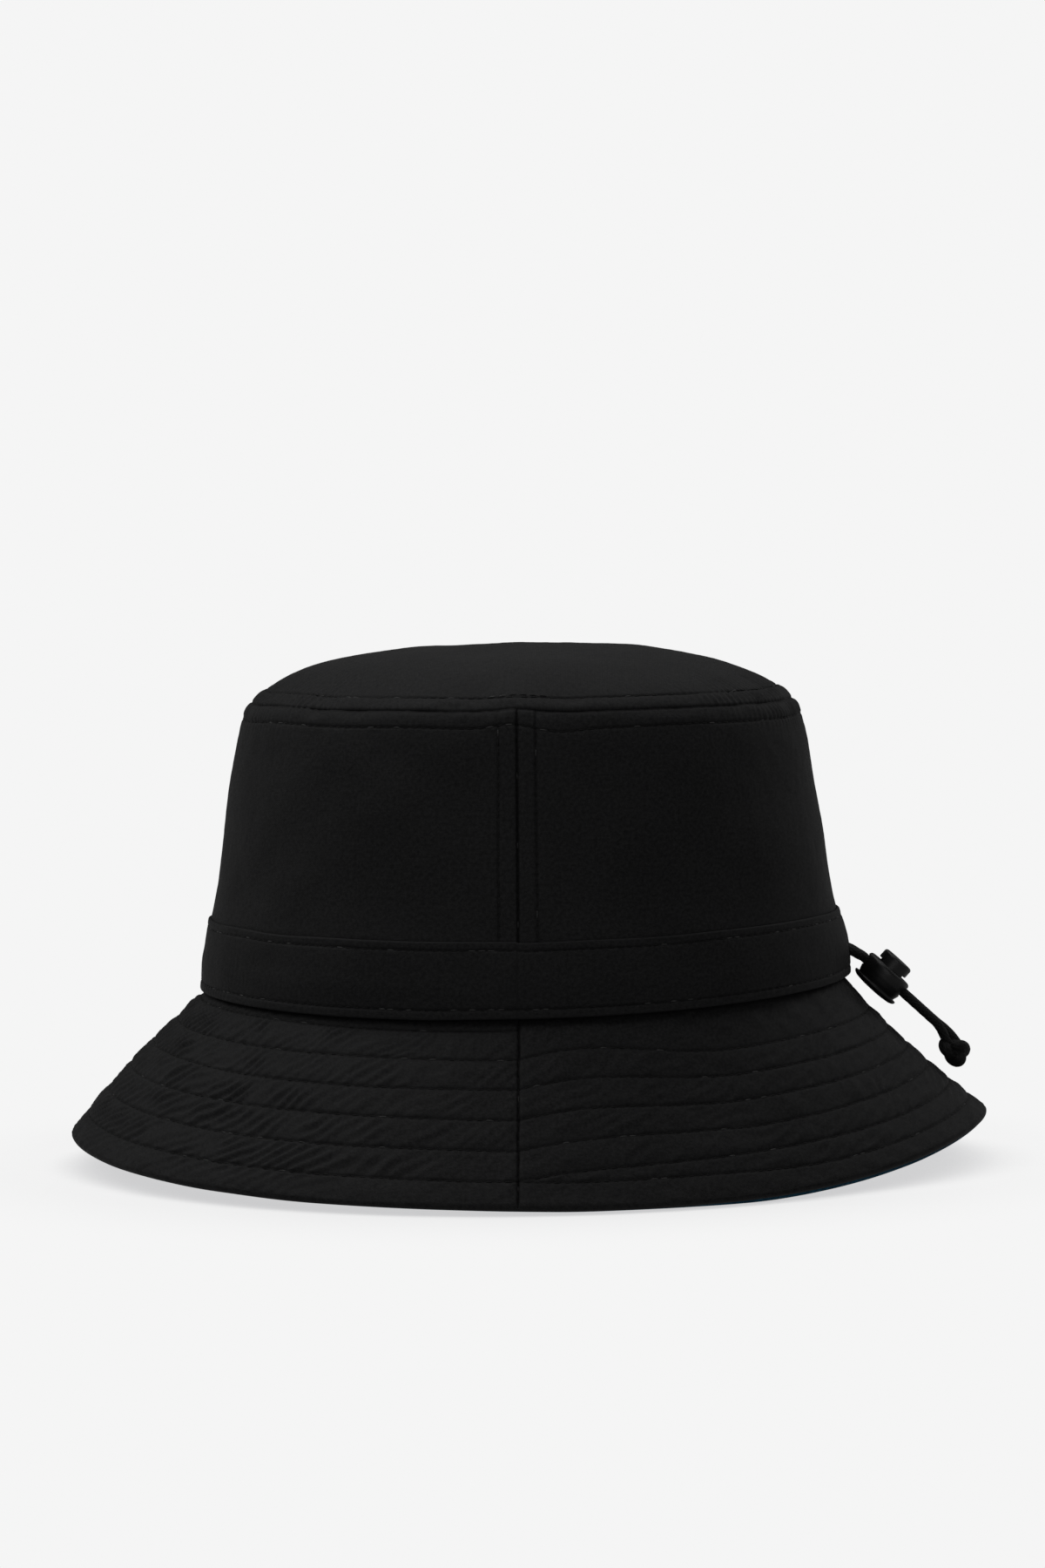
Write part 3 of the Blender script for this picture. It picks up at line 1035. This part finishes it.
def sweatband_piece():
    a = np.linspace(0, 360, int(480 * FINE), endpoint=False)
    z = np.concatenate([np.linspace(-1.6, 5, 16), np.linspace(5.6, 29.4, 32)])
    A, Z = np.meshgrid(a, z, indexing="ij")
    puff = 0.25 * bulge(Z, 3.5, 29, 0.6) - 0.2 * gauss(Z - 3.2, 0.5) + 0.25 * vnoise(A / 8, Z / 12, 95, 45) * sstep(Z, 2, 8)
    flare = 3.3 * sstep(4.5 - Z, 0, 6.0)
    puff = puff - flare
    inner = crown_point(A, casing_r(Z), BAND_D + 1.0 + puff, Z)
    turn = np.radians(np.linspace(0, 180, 7))[1:-1]
    A1, T1 = np.meshgrid(a, turn, indexing="ij")
    top = crown_point(A1, casing_r(29.4), BAND_D + 0.55 + 0.45 * np.cos(T1), 29.4 + 0.5 * np.sin(T1))
    bottom = crown_point(A1, casing_r(-1.6), BAND_D - flare[:, :1] + 0.55 - 0.45 * np.cos(T1), -1.6 - 0.5 * np.sin(T1))
    outer = crown_point(A, casing_r(Z[:, ::-1]), BAND_D + 0.1 - flare[:, ::-1], Z[:, ::-1])
    P = np.concatenate([inner, top, outer, bottom], 1)
    psi = arc_mm(A, 96)
    fab = np.concatenate([np.stack([psi, Z, 0 * Z], -1), np.stack([arc_mm(A1, 96), 30 + T1, -0.5 * np.sin(T1)], -1),
                          np.stack([psi, Z[:, ::-1], 0 * Z], -1), np.stack([arc_mm(A1, 96), -T1, -0.5 * np.sin(T1)], -1)], 1)
    obj = shell("sweatband_ring", P, fab, None, closed_u=True)
    return finish_piece(obj, RIBBED, "hat", "sweatband_cloth", "sweatband")


sweatband_piece()


def label_piece():
    a = np.linspace(57.2, 69.8, 60)
    z = np.linspace(4, 30.6, 70)
    A, Z = np.meshgrid(a, z, indexing="ij")
    lean = 0.5 * sstep(Z, 8, 30) * (0.5 + 0.5 * np.cos((A - 63.5) / 6.3 * 1.2)) + 0.12 * vnoise(A / 3, Z / 8, 96)
    hem = 0.12 * (gauss(Z - 28.6, 0.4) + gauss(Z - 5, 0.6))
    front = crown_point(A, casing_r(Z), BAND_D + 1.75 + lean - hem, Z)
    turn = np.radians(np.linspace(0, 180, 7))[1:-1]
    A1, T1 = np.meshgrid(a, turn, indexing="ij")
    l1 = lean[:, -1:]
    fold = crown_point(A1, casing_r(30.6), BAND_D + 1.58 + l1 + 0.17 * np.cos(T1), 30.6 + 0.3 * np.sin(T1))
    back = crown_point(A, casing_r(Z[:, ::-1]), BAND_D + 1.4 + lean[:, ::-1], Z[:, ::-1])
    P = np.concatenate([front, fold, back], 1)
    psi = arc_mm(A, 92)
    fab = np.concatenate([np.stack([psi, Z, 0 * Z], -1), np.stack([arc_mm(A1, 92), 31 + T1, 0 * T1], -1),
                          np.stack([psi, Z[:, ::-1], 0 * Z], -1)], 1)
    obj = shell("blank_label", P, fab, front.shape[1])
    return finish_piece(obj, SATIN, "hat", "label_cloth", "care_label")


label_piece()

# ---------------------------------------------------------------- thread
ang = np.linspace(0.6, 359.4, 2400)


def top_off(a, s):
    return brim_relief(a, s) + brim_wave(a, s) + 0.10


def under_off(a, s):
    return brim_relief(a, s, 1.0, 0.6) * 0.75 - brim_wave(a, s) + 0.08


brim_top_surface = lambda a, s, off: brim_point(a, s, -np.asarray(off, float))
brim_low_surface = lambda a, s, off: brim_point(a, s, 2.55 + np.asarray(off, float))
rows_a = [ang for _ in range(TURNS)]
rows_w = [row_s(k, ang) for k in range(TURNS)]
stitches("stitching_brim", brim_top_surface, rows_a, rows_w, top_off, THREAD, seed=101)
stitches("stitching_underside", brim_low_surface, rows_a, rows_w, under_off, THREAD_BLUE, slot="blue_cloth", seed=102)
stitches("stitching_band", CASING.at, [ang, ang], [2.9 + 0.22 * vnoise(ang / 11, 0 * ang, 43), 21.1 + 0.2 * vnoise(ang / 13, 0 * ang, 44)],
         lambda a, w: casing_relief(a, w) + 0.10, THREAD, pitch=2.9, length=2.35, seed=103, shiny=0.22)
tack = np.linspace(-6.4, 6.8, 160)
stitches("stitching_crown_top", TIP.at, [ang, tack], [6.2 + 0.35 * vnoise(ang / 15, 0 * ang, 45, 24) - 0.9 * gauss((ang + 180) % 360 - 180, 5),
                                                    6.75 + 0.02 * tack],
         lambda a, w: tip_relief(a, w) + 0.10, THREAD, seed=104, shiny=0.16)
stitches("stitching_crown_rim", WALL.at, [ang], [WALL.length - rim_row(ang)],
         lambda a, w: wall_relief(a, w) + 0.10, THREAD, seed=105, shiny=0.14)
col_w = np.linspace(WALL.w_of(24.6), WALL.length - 5.9, 300)
cols = []
for centre in (0.0, 180.0):
    for sgn in (-1, 1):
        radius = np.interp(col_w, WALL.w, WALL.r - WALL.d)
        cols.append(centre + sgn * np.degrees(5.9 / radius) + 0.12 * vnoise(col_w / 16, 0 * col_w + 4 * sgn, 47))
stitches("stitching_side_seams", WALL.at, cols, [col_w] * 4, lambda a, w: wall_relief(a, w) + 0.10, THREAD, seed=106)

ditch_w = np.linspace(WALL.w_of(24.6), WALL.length - 1.2, 240)
stitches("stitching_side_ditch", WALL.at, [0.0 * ditch_w, 180 + 0.0 * ditch_w], [ditch_w] * 2,
         lambda a, w: wall_relief(a, w) + 0.16, THREAD, pitch=3.0, length=2.3, r=0.15, seed=107)
ditch_s = np.linspace(1.5, SLANT - 2.5, 240)
stitches("stitching_brim_ditch", brim_top_surface, [0.0 * ditch_s, 180 + 0.0 * ditch_s], [ditch_s] * 2,
         lambda a, s: top_off(a, s) + 0.08, THREAD, pitch=3.0, length=2.3, r=0.15, seed=108)

# ---------------------------------------------------------------- cord, eyelets
SLOPE = math.radians(42.5)
T = np.array([0, math.cos(SLOPE), -math.sin(SLOPE)])
N = np.array([0, math.sin(SLOPE), math.cos(SLOPE)])
PIVOT = np.array([0, 106.8, 13.0917])


def tail_point(x, along, n):
    x, along, n = np.broadcast_arrays(np.asarray(x, float), np.asarray(along, float), np.asarray(n, float))
    return PIVOT + along[..., None] * T + n[..., None] * N + x[..., None] * np.array([1.0, 0, 0])


def spline(points, step=0.25):
    """Smooth curve through points (Catmull-Rom), sampled every step mm."""
    p = np.asarray(points, float)
    p = np.concatenate([[2 * p[0] - p[1]], p, [2 * p[-1] - p[-2]]])
    out = []
    for i in range(1, len(p) - 2):
        t = np.linspace(0, 1, 24, endpoint=False)[:, None]
        a, b, c, d = p[i - 1], p[i], p[i + 1], p[i + 2]
        out.append(0.5 * ((2 * b) + (c - a) * t + (2 * a - 5 * b + 4 * c - d) * t**2 + (3 * b - a - 3 * c + d) * t**3))
    out = np.concatenate(out + [p[-2:-1]])
    L = np.concatenate([[0], np.cumsum(np.linalg.norm(np.diff(out, axis=0), axis=1))])
    q = np.linspace(0, L[-1], max(4, int(L[-1] / step)))
    return np.stack([np.interp(q, L, out[:, i]) for i in range(3)], -1)


def cord_mesh(paths, radius=1.52, sides=36, closed=False, squeeze=None):
    """Braided cord along each path: points, faces and pattern coordinates."""
    co, faces, fab = [], [], []
    base = 0
    for path in paths:
        n = len(path)
        if closed:
            tan = np.roll(path, -1, 0) - np.roll(path, 1, 0)
        else:
            tan = np.gradient(path, axis=0)
        tan /= np.linalg.norm(tan, axis=1, keepdims=True)
        up = np.zeros_like(path)
        ref = np.cross(tan[0], [0.3, 0.2, 1.0])
        ref /= np.linalg.norm(ref)
        for i in range(n):
            ref = ref - tan[i] * (ref @ tan[i])
            ref /= np.linalg.norm(ref)
            up[i] = ref
        if closed:  # spread the leftover turn so that the loop closes
            end = up[-1] - tan[0] * (up[-1] @ tan[0])
            end /= np.linalg.norm(end)
            miss = math.atan2(np.cross(up[0], end) @ tan[0], up[0] @ end)
            turn = -miss * np.arange(n) / n
            side0 = np.cross(tan, up)
            up = up * np.cos(turn)[:, None] + side0 * np.sin(turn)[:, None]
        side = np.cross(tan, up)
        th = np.linspace(0, 2 * np.pi, sides + 1)
        L = np.concatenate([[0], np.cumsum(np.linalg.norm(np.diff(path, axis=0), axis=1))])
        TH, LL = np.meshgrid(th, L)
        k = 2 * np.pi / 3.5
        braid = np.maximum(np.sin(8 * TH + k * LL), np.sin(8 * TH - k * LL))
        rr = (np.full(n, radius) if squeeze is None else radius * squeeze(path))[:, None] + 0.045 * (braid - 0.6)
        P = path[:, None] + rr[..., None] * (np.cos(TH)[..., None] * up[:, None] + np.sin(TH)[..., None] * side[:, None])
        f = grid_faces(n, sides + 1, closed, False) + base
        faces += [tuple(x) for x in f]
        co.append(P.reshape(-1, 3))
        fab.append(np.stack([TH * 1.52, LL, 0 * TH], -1).reshape(-1, 3))
        base += n * (sides + 1)
        if not closed:
            for end, flip in ((0, True), (n - 1, False)):
                ring = [base - n * (sides + 1) + end * (sides + 1) + k2 for k2 in range(sides)]
                centre = path[end] + (tan[end] if end else -tan[end]) * 0.5
                co.append(centre[None])
                fab.append(np.array([[0, L[end], 0]]))
                for k2 in range(sides):
                    tri = (ring[k2], ring[(k2 + 1) % sides], base)
                    faces.append(tri[::-1] if flip else tri)
                base += 1
    return np.concatenate(co), faces, np.concatenate(fab)


def tail_piece():
    paths = []
    for sgn in (-1, 1):
        pts = [[sgn * 4.5, 100.4, 13.2], [sgn * 4.5, 102.6, 13.2], [sgn * 4.5, 104.6, 13.02], [sgn * 4.32, 106.4, 12.3],
               [sgn * 3.2, 108.2, 11.2], [sgn * 2.1, 109.75, 10.35]]
        for al in np.arange(5.8, 46.0, 1.6):
            twist = math.radians(58) * float(sstep(al, 35.4, 45))
            gap = 1.6 - 0.05 * float(sstep(al, 26, 33)) + 0.1 * float(sstep(al, 41, 45))
            droop = -2.4 * float(sstep(al, 35.6, 50)) ** 1.1
            pts.append(list(tail_point(sgn * gap * math.cos(twist), al, droop - sgn * gap * math.sin(twist) * 0.95)))
        paths.append(spline(pts))
    co, faces, fab = cord_mesh(paths)
    # the knot: a closed three-lobed turn of the same cord, drawn tight, lying in the plane of the tail
    t = np.linspace(0, 2 * np.pi, 220, endpoint=False) + 0.35
    kx = 1.10 * (np.sin(t) + 2 * np.sin(2 * t))
    ky = 1.04 * (np.cos(t) - 2 * np.cos(2 * t))
    kz = -2.2 * np.sin(3 * t)
    turn = math.radians(38)
    ka = 1.22 * (kx * math.cos(turn) - ky * math.sin(turn))
    kn = 0.92 * (kx * math.sin(turn) + ky * math.cos(turn))
    loop = tail_point(kz, 46.9 + ka, -2.9 + kn)
    kco, kf, kfab = cord_mesh([loop], radius=1.95, closed=True)
    faces += [tuple(i + len(co) for i in f) for f in kf]
    co, fab = np.concatenate([co, kco]), np.concatenate([fab, kfab])
    # a core of cord inside the turns, so that no light shows through
    u, v = np.meshgrid(np.linspace(0, 2 * np.pi, 40, endpoint=False), np.linspace(0.05, np.pi - 0.05, 22), indexing="ij")
    rr = 3.7 + 0.12 * np.sin(5 * u + 3 * v)
    core = tail_point(rr * np.sin(v) * np.cos(u) * 0.95, 46.9 + 1.12 * rr * np.cos(v), -2.9 + 0.95 * rr * np.sin(v) * np.sin(u))
    cf = grid_faces(40, 22, True, False) + len(co)
    faces += [tuple(x) for x in cf]
    faces += [tuple(len(co) + i * 22 for i in range(40)), tuple(len(co) + i * 22 + 21 for i in range(39, -1, -1))]
    co = np.concatenate([co, core.reshape(-1, 3)])
    fab = np.concatenate([fab, np.stack([u * 3, v * 3, 0 * u], -1).reshape(-1, 3)])
    obj = mesh_object("cord_ends_and_knot", co, faces, fab)
    obj.data.materials.append(BRAID)
    tuple(tail_point(0, 4.2, 0) * MM)
    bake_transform(obj)
    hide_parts("cord_tail")
    return obj


tail_piece()


def inner_cord():
    a = np.linspace(0, 360, 900, endpoint=False)
    path = crown_point(a, casing_r(CORD_LEVEL), UNDER_GAP - 1.6, CORD_LEVEL + 0 * a)
    co, faces, fab = cord_mesh([path], radius=1.42, sides=16, closed=True)
    obj = mesh_object("cord_in_casing", co, faces, fab)
    return finish_piece(obj, BRAID, "hat", "cord_braid", "elastic_cord")


inner_cord()


def lathe(name, profile, seg=96, closed=True):
    """Profile of (r, h) turned about the local Z axis, as points and faces in mm."""
    p = np.asarray(profile, float)
    th = np.linspace(0, 2 * np.pi, seg, endpoint=False)
    P = np.stack([p[None, :, 0] * np.cos(th)[:, None], p[None, :, 0] * np.sin(th)[:, None],
                  np.repeat(p[None, :, 1], seg, 0)], -1)
    return P.reshape(-1, 3), grid_faces(seg, len(p), True, closed)


def rounded(points, radius, steps=4):
    """Closed outline with every corner rounded by about radius."""
    p = [np.asarray(q, float) for q in points]
    out = []
    for i, b in enumerate(p):
        a, c = p[i - 1], p[(i + 1) % len(p)]
        la, lc = np.linalg.norm(a - b), np.linalg.norm(c - b)
        r = min(radius, la * 0.45, lc * 0.45)
        s, e = b + (a - b) / la * r, b + (c - b) / lc * r
        for t in np.linspace(0, 1, steps + 1):
            out.append((1 - t) ** 2 * s + 2 * t * (1 - t) * b + t * t * e)
    return np.array(out)


for side, x in (("left", 1), ("right", -1)):
    outline = rounded([[1.95, -0.95], [2.35, -0.95], [2.42, 0.3], [3.5, 0.3], [3.55, 0.58], [2.9, 0.95], [2.1, 0.85]], 0.22)
    co, faces = lathe("eyelet", outline, 80)
    obj = mesh_object(f"cord_eyelet_{side}", co, faces)
    m = (Matrix.Translation(Vector((x * 4.5, float(casing_r(CORD_LEVEL)) + 0.12, PIVOT[2])) * MM)
         @ Matrix.Rotation(math.radians(-x * 3.4), 4, "Z") @ Matrix.Rotation(math.radians(-83.5), 4, "X"))
    obj.data.transform(m)
    fix_normals(obj)
    finish_piece(obj, EYELET, "hat", "eyelet_metal", f"eyelet_{side}")

# ---------------------------------------------------------------- cord lock
LOCK_AT, CORD_Z = 13.5, 6.15


def lock_matrix():
    """From the lock's own mm coordinates (x across, y along the cord, z from its underside) to the row frame."""
    o = PIVOT + LOCK_AT * T - CORD_Z * N
    m = Matrix(((1, 0, 0, o[0]), (0, T[1], N[1], o[1]), (0, T[2], N[2], o[2]), (0, 0, 0, 1)))
    return Matrix.Scale(MM, 4) @ m


def moulded(name, co, faces, cuts, voxel, keep_ratio=1.0):
    """A moulded part: turned shape less its cuts, remeshed fine and softened so that every edge is rounded."""
    obj = mesh_object(name, np.asarray(co) / MM, faces)
    fix_normals(obj)
    tools = []
    for k, (cco, cfaces) in enumerate(cuts):
        tool = mesh_object(f"{name}_cut{k}", np.asarray(cco) / MM, cfaces, smooth=False)
        fix_normals(tool)
        mod = obj.modifiers.new(f"cut{k}", "BOOLEAN")
        mod.operation, mod.solver, mod.object = "DIFFERENCE", "EXACT", tool
        tools.append(tool)
    rm = obj.modifiers.new("remesh", "REMESH")
    rm.mode, rm.voxel_size, rm.use_smooth_shade = "VOXEL", voxel * 1, True
    sm = obj.modifiers.new("soften", "SMOOTH")
    sm.factor, sm.iterations = 0.5, 4
    bpy.context.view_layer.update()
    dg = bpy.context.evaluated_depsgraph_get()
    mesh = bpy.data.meshes.new_from_object(obj.evaluated_get(dg))
    obj.modifiers.clear()
    obj.data = mesh
    for tool in tools:
        bpy.data.objects.remove(tool)
    mesh.transform(lock_matrix())
    mesh.polygons.foreach_set("use_smooth", [True] * len(mesh.polygons))
    mesh.update()
    return obj


def stadium(w, h, z, long, seg=16):
    """Bar of rounded section w by h centred at height z, running along y."""
    r = h / 2
    th = np.concatenate([np.linspace(-np.pi / 2, np.pi / 2, seg), np.linspace(np.pi / 2, 1.5 * np.pi, seg)])
    cx = np.concatenate([np.full(seg, w / 2 - r), np.full(seg, -w / 2 + r)])
    ring = np.stack([cx + r * np.cos(th), z + r * np.sin(th)], -1)
    n = len(ring)
    co = [(x, y, zz) for y in (-long / 2, long / 2) for x, zz in ring]
    faces = [(i, (i + 1) % n, n + (i + 1) % n, n + i) for i in range(n)]
    faces += [tuple(range(n))[::-1], tuple(range(n, 2 * n))]
    return np.array(co), faces


def block(x, y, z0, z1):
    co = [(sx * x, sy * y, z) for z in (z0, z1) for sy in (-1, 1) for sx in (-1, 1)]
    return np.array(co), [(0, 2, 3, 1), (4, 5, 7, 6), (0, 1, 5, 4), (2, 6, 7, 3), (0, 4, 6, 2), (1, 3, 7, 5)]


rb, rf, hb = 8.4, 8.5, 9.2
body_outline = rounded([[0.02, 0.0], [4, 0.1], [rf - 1.6, 0.42], [rf - 0.5, 0.9], [rf, 1.45], [rf - 0.05, 1.95],
                        [rf - 0.42, 2.0], [rf - 0.68, 1.68], [rb - 1.05, 1.75], [rb - 1.1, 2.2], [rb - 0.6, 3.6],
                        [rb - 0.15, 5.5], [rb, 7.2], [rb - 0.02, hb - 1.1], [rb - 0.2, hb - 0.55], [rb - 0.6, hb - 0.15],
                        [rb - 1.2, hb], [5.95, hb], [5.62, hb - 0.35], [5.62, 0.8], [0.02, 0.8]], 0.3, 3)
co, faces = lathe("lock", body_outline, 144)
lock = moulded("cord_lock_body", co, faces, [stadium(7.1, 3.6, CORD_Z, 40)], 0.15)
finish_piece(lock, PLASTIC, "lock", "lock_plastic", "lock_body")
br, bt = 5.45, 13.3
button_outline = rounded([[0.02, 3.8], [br, 3.8], [br, bt - 0.75], [br - 0.15, bt - 0.4], [br - 0.55, bt - 0.1],
                          [br - 1.1, bt], [2.5, bt - 0.05], [0.02, bt - 0.05]], 0.2, 3)
co, faces = lathe("button", button_outline, 120)
button = moulded("cord_lock_button", co, faces, [block(3.5, 15, 4.42, 9.9)], 0.13)
finish_piece(button, PLASTIC, "button", "lock_plastic", "lock_button")


def spring_piece():
    t = np.radians(np.linspace(0, 900, 420))
    h = 1.05 + (3.55 - 1.05) * t / t[-1]
    path = np.stack([2.9 * np.cos(t), 2.9 * np.sin(t), h], -1)
    m = np.array(lock_matrix())
    world = (path @ m[:3, :3].T + m[:3, 3]) / MM
    tan = np.gradient(world, axis=0)
    tan /= np.linalg.norm(tan, axis=1, keepdims=True)
    side = np.cross(tan, N)
    side /= np.linalg.norm(side, axis=1, keepdims=True)
    up = np.cross(side, tan)
    th = np.linspace(0, 2 * np.pi, 12, endpoint=False)
    P = world[:, None] + 0.2 * (np.cos(th)[None, :, None] * side[:, None] + np.sin(th)[None, :, None] * up[:, None])
    faces = [tuple(f) for f in grid_faces(len(t), 12, False, True)]
    faces += [tuple(range(12)), tuple((len(t) - 1) * 12 + k for k in range(11, -1, -1))]
    obj = mesh_object("cord_lock_spring", P.reshape(-1, 3), faces)
    fix_normals(obj)
    finish_piece(obj, STEEL, "lock", "spring_steel", "lock_spring")
    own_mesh(obj)
    return obj


spring_piece()

# ---------------------------------------------------------------- stage, light, camera
lo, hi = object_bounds()


def stage_material():
    mat = bpy.data.materials.new("pale_floor")
    mat.use_nodes = True
    t = mat.node_tree
    t.nodes.clear()
    out = t.nodes.new("ShaderNodeOutputMaterial")
    em = t.nodes.new("ShaderNodeEmission")
    ao = t.nodes.new("ShaderNodeAmbientOcclusion")
    ao.inputs["Distance"].default_value = 0.07
    ao.samples = 8
    ramp = t.nodes.new("ShaderNodeValToRGB")
    ramp.color_ramp.elements[0].position = 0.15
    ramp.color_ramp.elements[0].color = (0.55, 0.55, 0.56, 1)
    ramp.color_ramp.elements[1].position = 0.98
    ramp.color_ramp.elements[1].color = (0.913, 0.913, 0.913, 1)
    t.links.new(ao.outputs["AO"], ramp.inputs["Fac"])
    t.links.new(ramp.outputs["Color"], em.inputs["Color"])
    dim = t.nodes.new("ShaderNodeEmission")
    dim.inputs["Color"].default_value = (0.3, 0.3, 0.3, 1)
    lp, mx = t.nodes.new("ShaderNodeLightPath"), t.nodes.new("ShaderNodeMixShader")
    t.links.new(lp.outputs["Is Camera Ray"], mx.inputs[0])
    t.links.new(dim.outputs[0], mx.inputs[1])
    t.links.new(em.outputs[0], mx.inputs[2])
    t.links.new(mx.outputs[0], out.inputs["Surface"])
    return mat


floor = mesh_object("floor", np.array([[-9000, -9000, 0], [9000, -9000, 0], [9000, 9000, 0], [-9000, 9000, 0]], float)
                    + [0, 0, lo.z / MM - 0.3], [(0, 1, 2, 3)], smooth=False)
floor.data.materials.append(stage_material())

world = bpy.data.worlds.new("studio")
bpy.context.scene.world = world
world.use_nodes = True
wt = world.node_tree
wt.nodes.clear()
wout = wt.nodes.new("ShaderNodeOutputWorld")
lit, seen = wt.nodes.new("ShaderNodeBackground"), wt.nodes.new("ShaderNodeBackground")
lit.inputs["Color"].default_value = (1, 1, 1, 1)
lit.inputs["Strength"].default_value = 0.08
seen.inputs["Color"].default_value = (0.913, 0.913, 0.913, 1)
path_node, mixer = wt.nodes.new("ShaderNodeLightPath"), wt.nodes.new("ShaderNodeMixShader")
wt.links.new(path_node.outputs["Is Camera Ray"], mixer.inputs[0])
wt.links.new(lit.outputs[0], mixer.inputs[1])
wt.links.new(seen.outputs[0], mixer.inputs[2])
wt.links.new(mixer.outputs[0], wout.inputs["Surface"])


def softbox(name, at, size, watts, target=(0, 0, 0.02)):
    light = bpy.data.lights.new(name, "AREA")
    light.shape, light.size, light.size_y, light.energy = "RECTANGLE", size[0], size[1], watts
    obj = bpy.data.objects.new(name, light)
    bpy.context.scene.collection.objects.link(obj)
    obj.location = at
    obj.rotation_mode = "QUATERNION"
    obj.rotation_quaternion = (Vector(target) - Vector(at)).to_track_quat("-Z", "Y")
    obj.visible_camera = False
    return obj


softbox("softbox_top", (0.05, -0.15, 1.4), (1.5, 1.5), 9.8)
softbox("softbox_front_left", (0.7, -1.1, 1.0), (0.9, 0.9), 2.9)
softbox("softbox_right", (0.35, 1.5, 0.8), (0.6, 0.9), 1.0)
softbox("softbox_behind_left", (-0.35, -1.2, 0.95), (0.7, 1.1), 3.9)
softbox("softbox_behind_right", (-0.8, 1.1, 1.0), (0.7, 1.1), 2.6)
softbox("softbox_near", (1.7, 0.1, 0.5), (0.8, 0.8), 3.2)
softbox("softbox_far", (-1.3, -0.1, 1.3), (0.8, 0.8), 0.6)

# the camera: almost level, on the hat's left side, with a long lens
D, E, YAW, ROLL, FPX, CX, CY = 1.6038, 0.0739, 0.02, 0.0098, 5684.8, 600.61, 978.24
cam_data = bpy.data.cameras.new("camera")
cam = bpy.data.objects.new("camera", cam_data)
bpy.context.scene.collection.objects.link(cam)
target = Vector((0, 0, 0.045))
cam.location = target + Vector((D * math.cos(E) * math.cos(YAW), D * math.cos(E) * math.sin(YAW), D * math.sin(E)))
cam.rotation_mode = "QUATERNION"
look = (target - cam.location).to_track_quat("-Z", "Y")
cam.rotation_quaternion = look @ Matrix.Rotation(-ROLL, 3, "Z").to_quaternion()
cam_data.sensor_fit = "AUTO"
cam_data.sensor_width = 36
cam_data.lens = FPX / 1800 * 36
cam_data.shift_x = -(CX - 600) / 1800
cam_data.shift_y = (CY - 900) / 1800
cam_data.clip_start, cam_data.clip_end = 0.05, 50
bpy.context.scene.camera = cam
bpy.context.scene.view_settings.view_transform = "Standard"
bpy.context.scene.view_settings.look = "None"
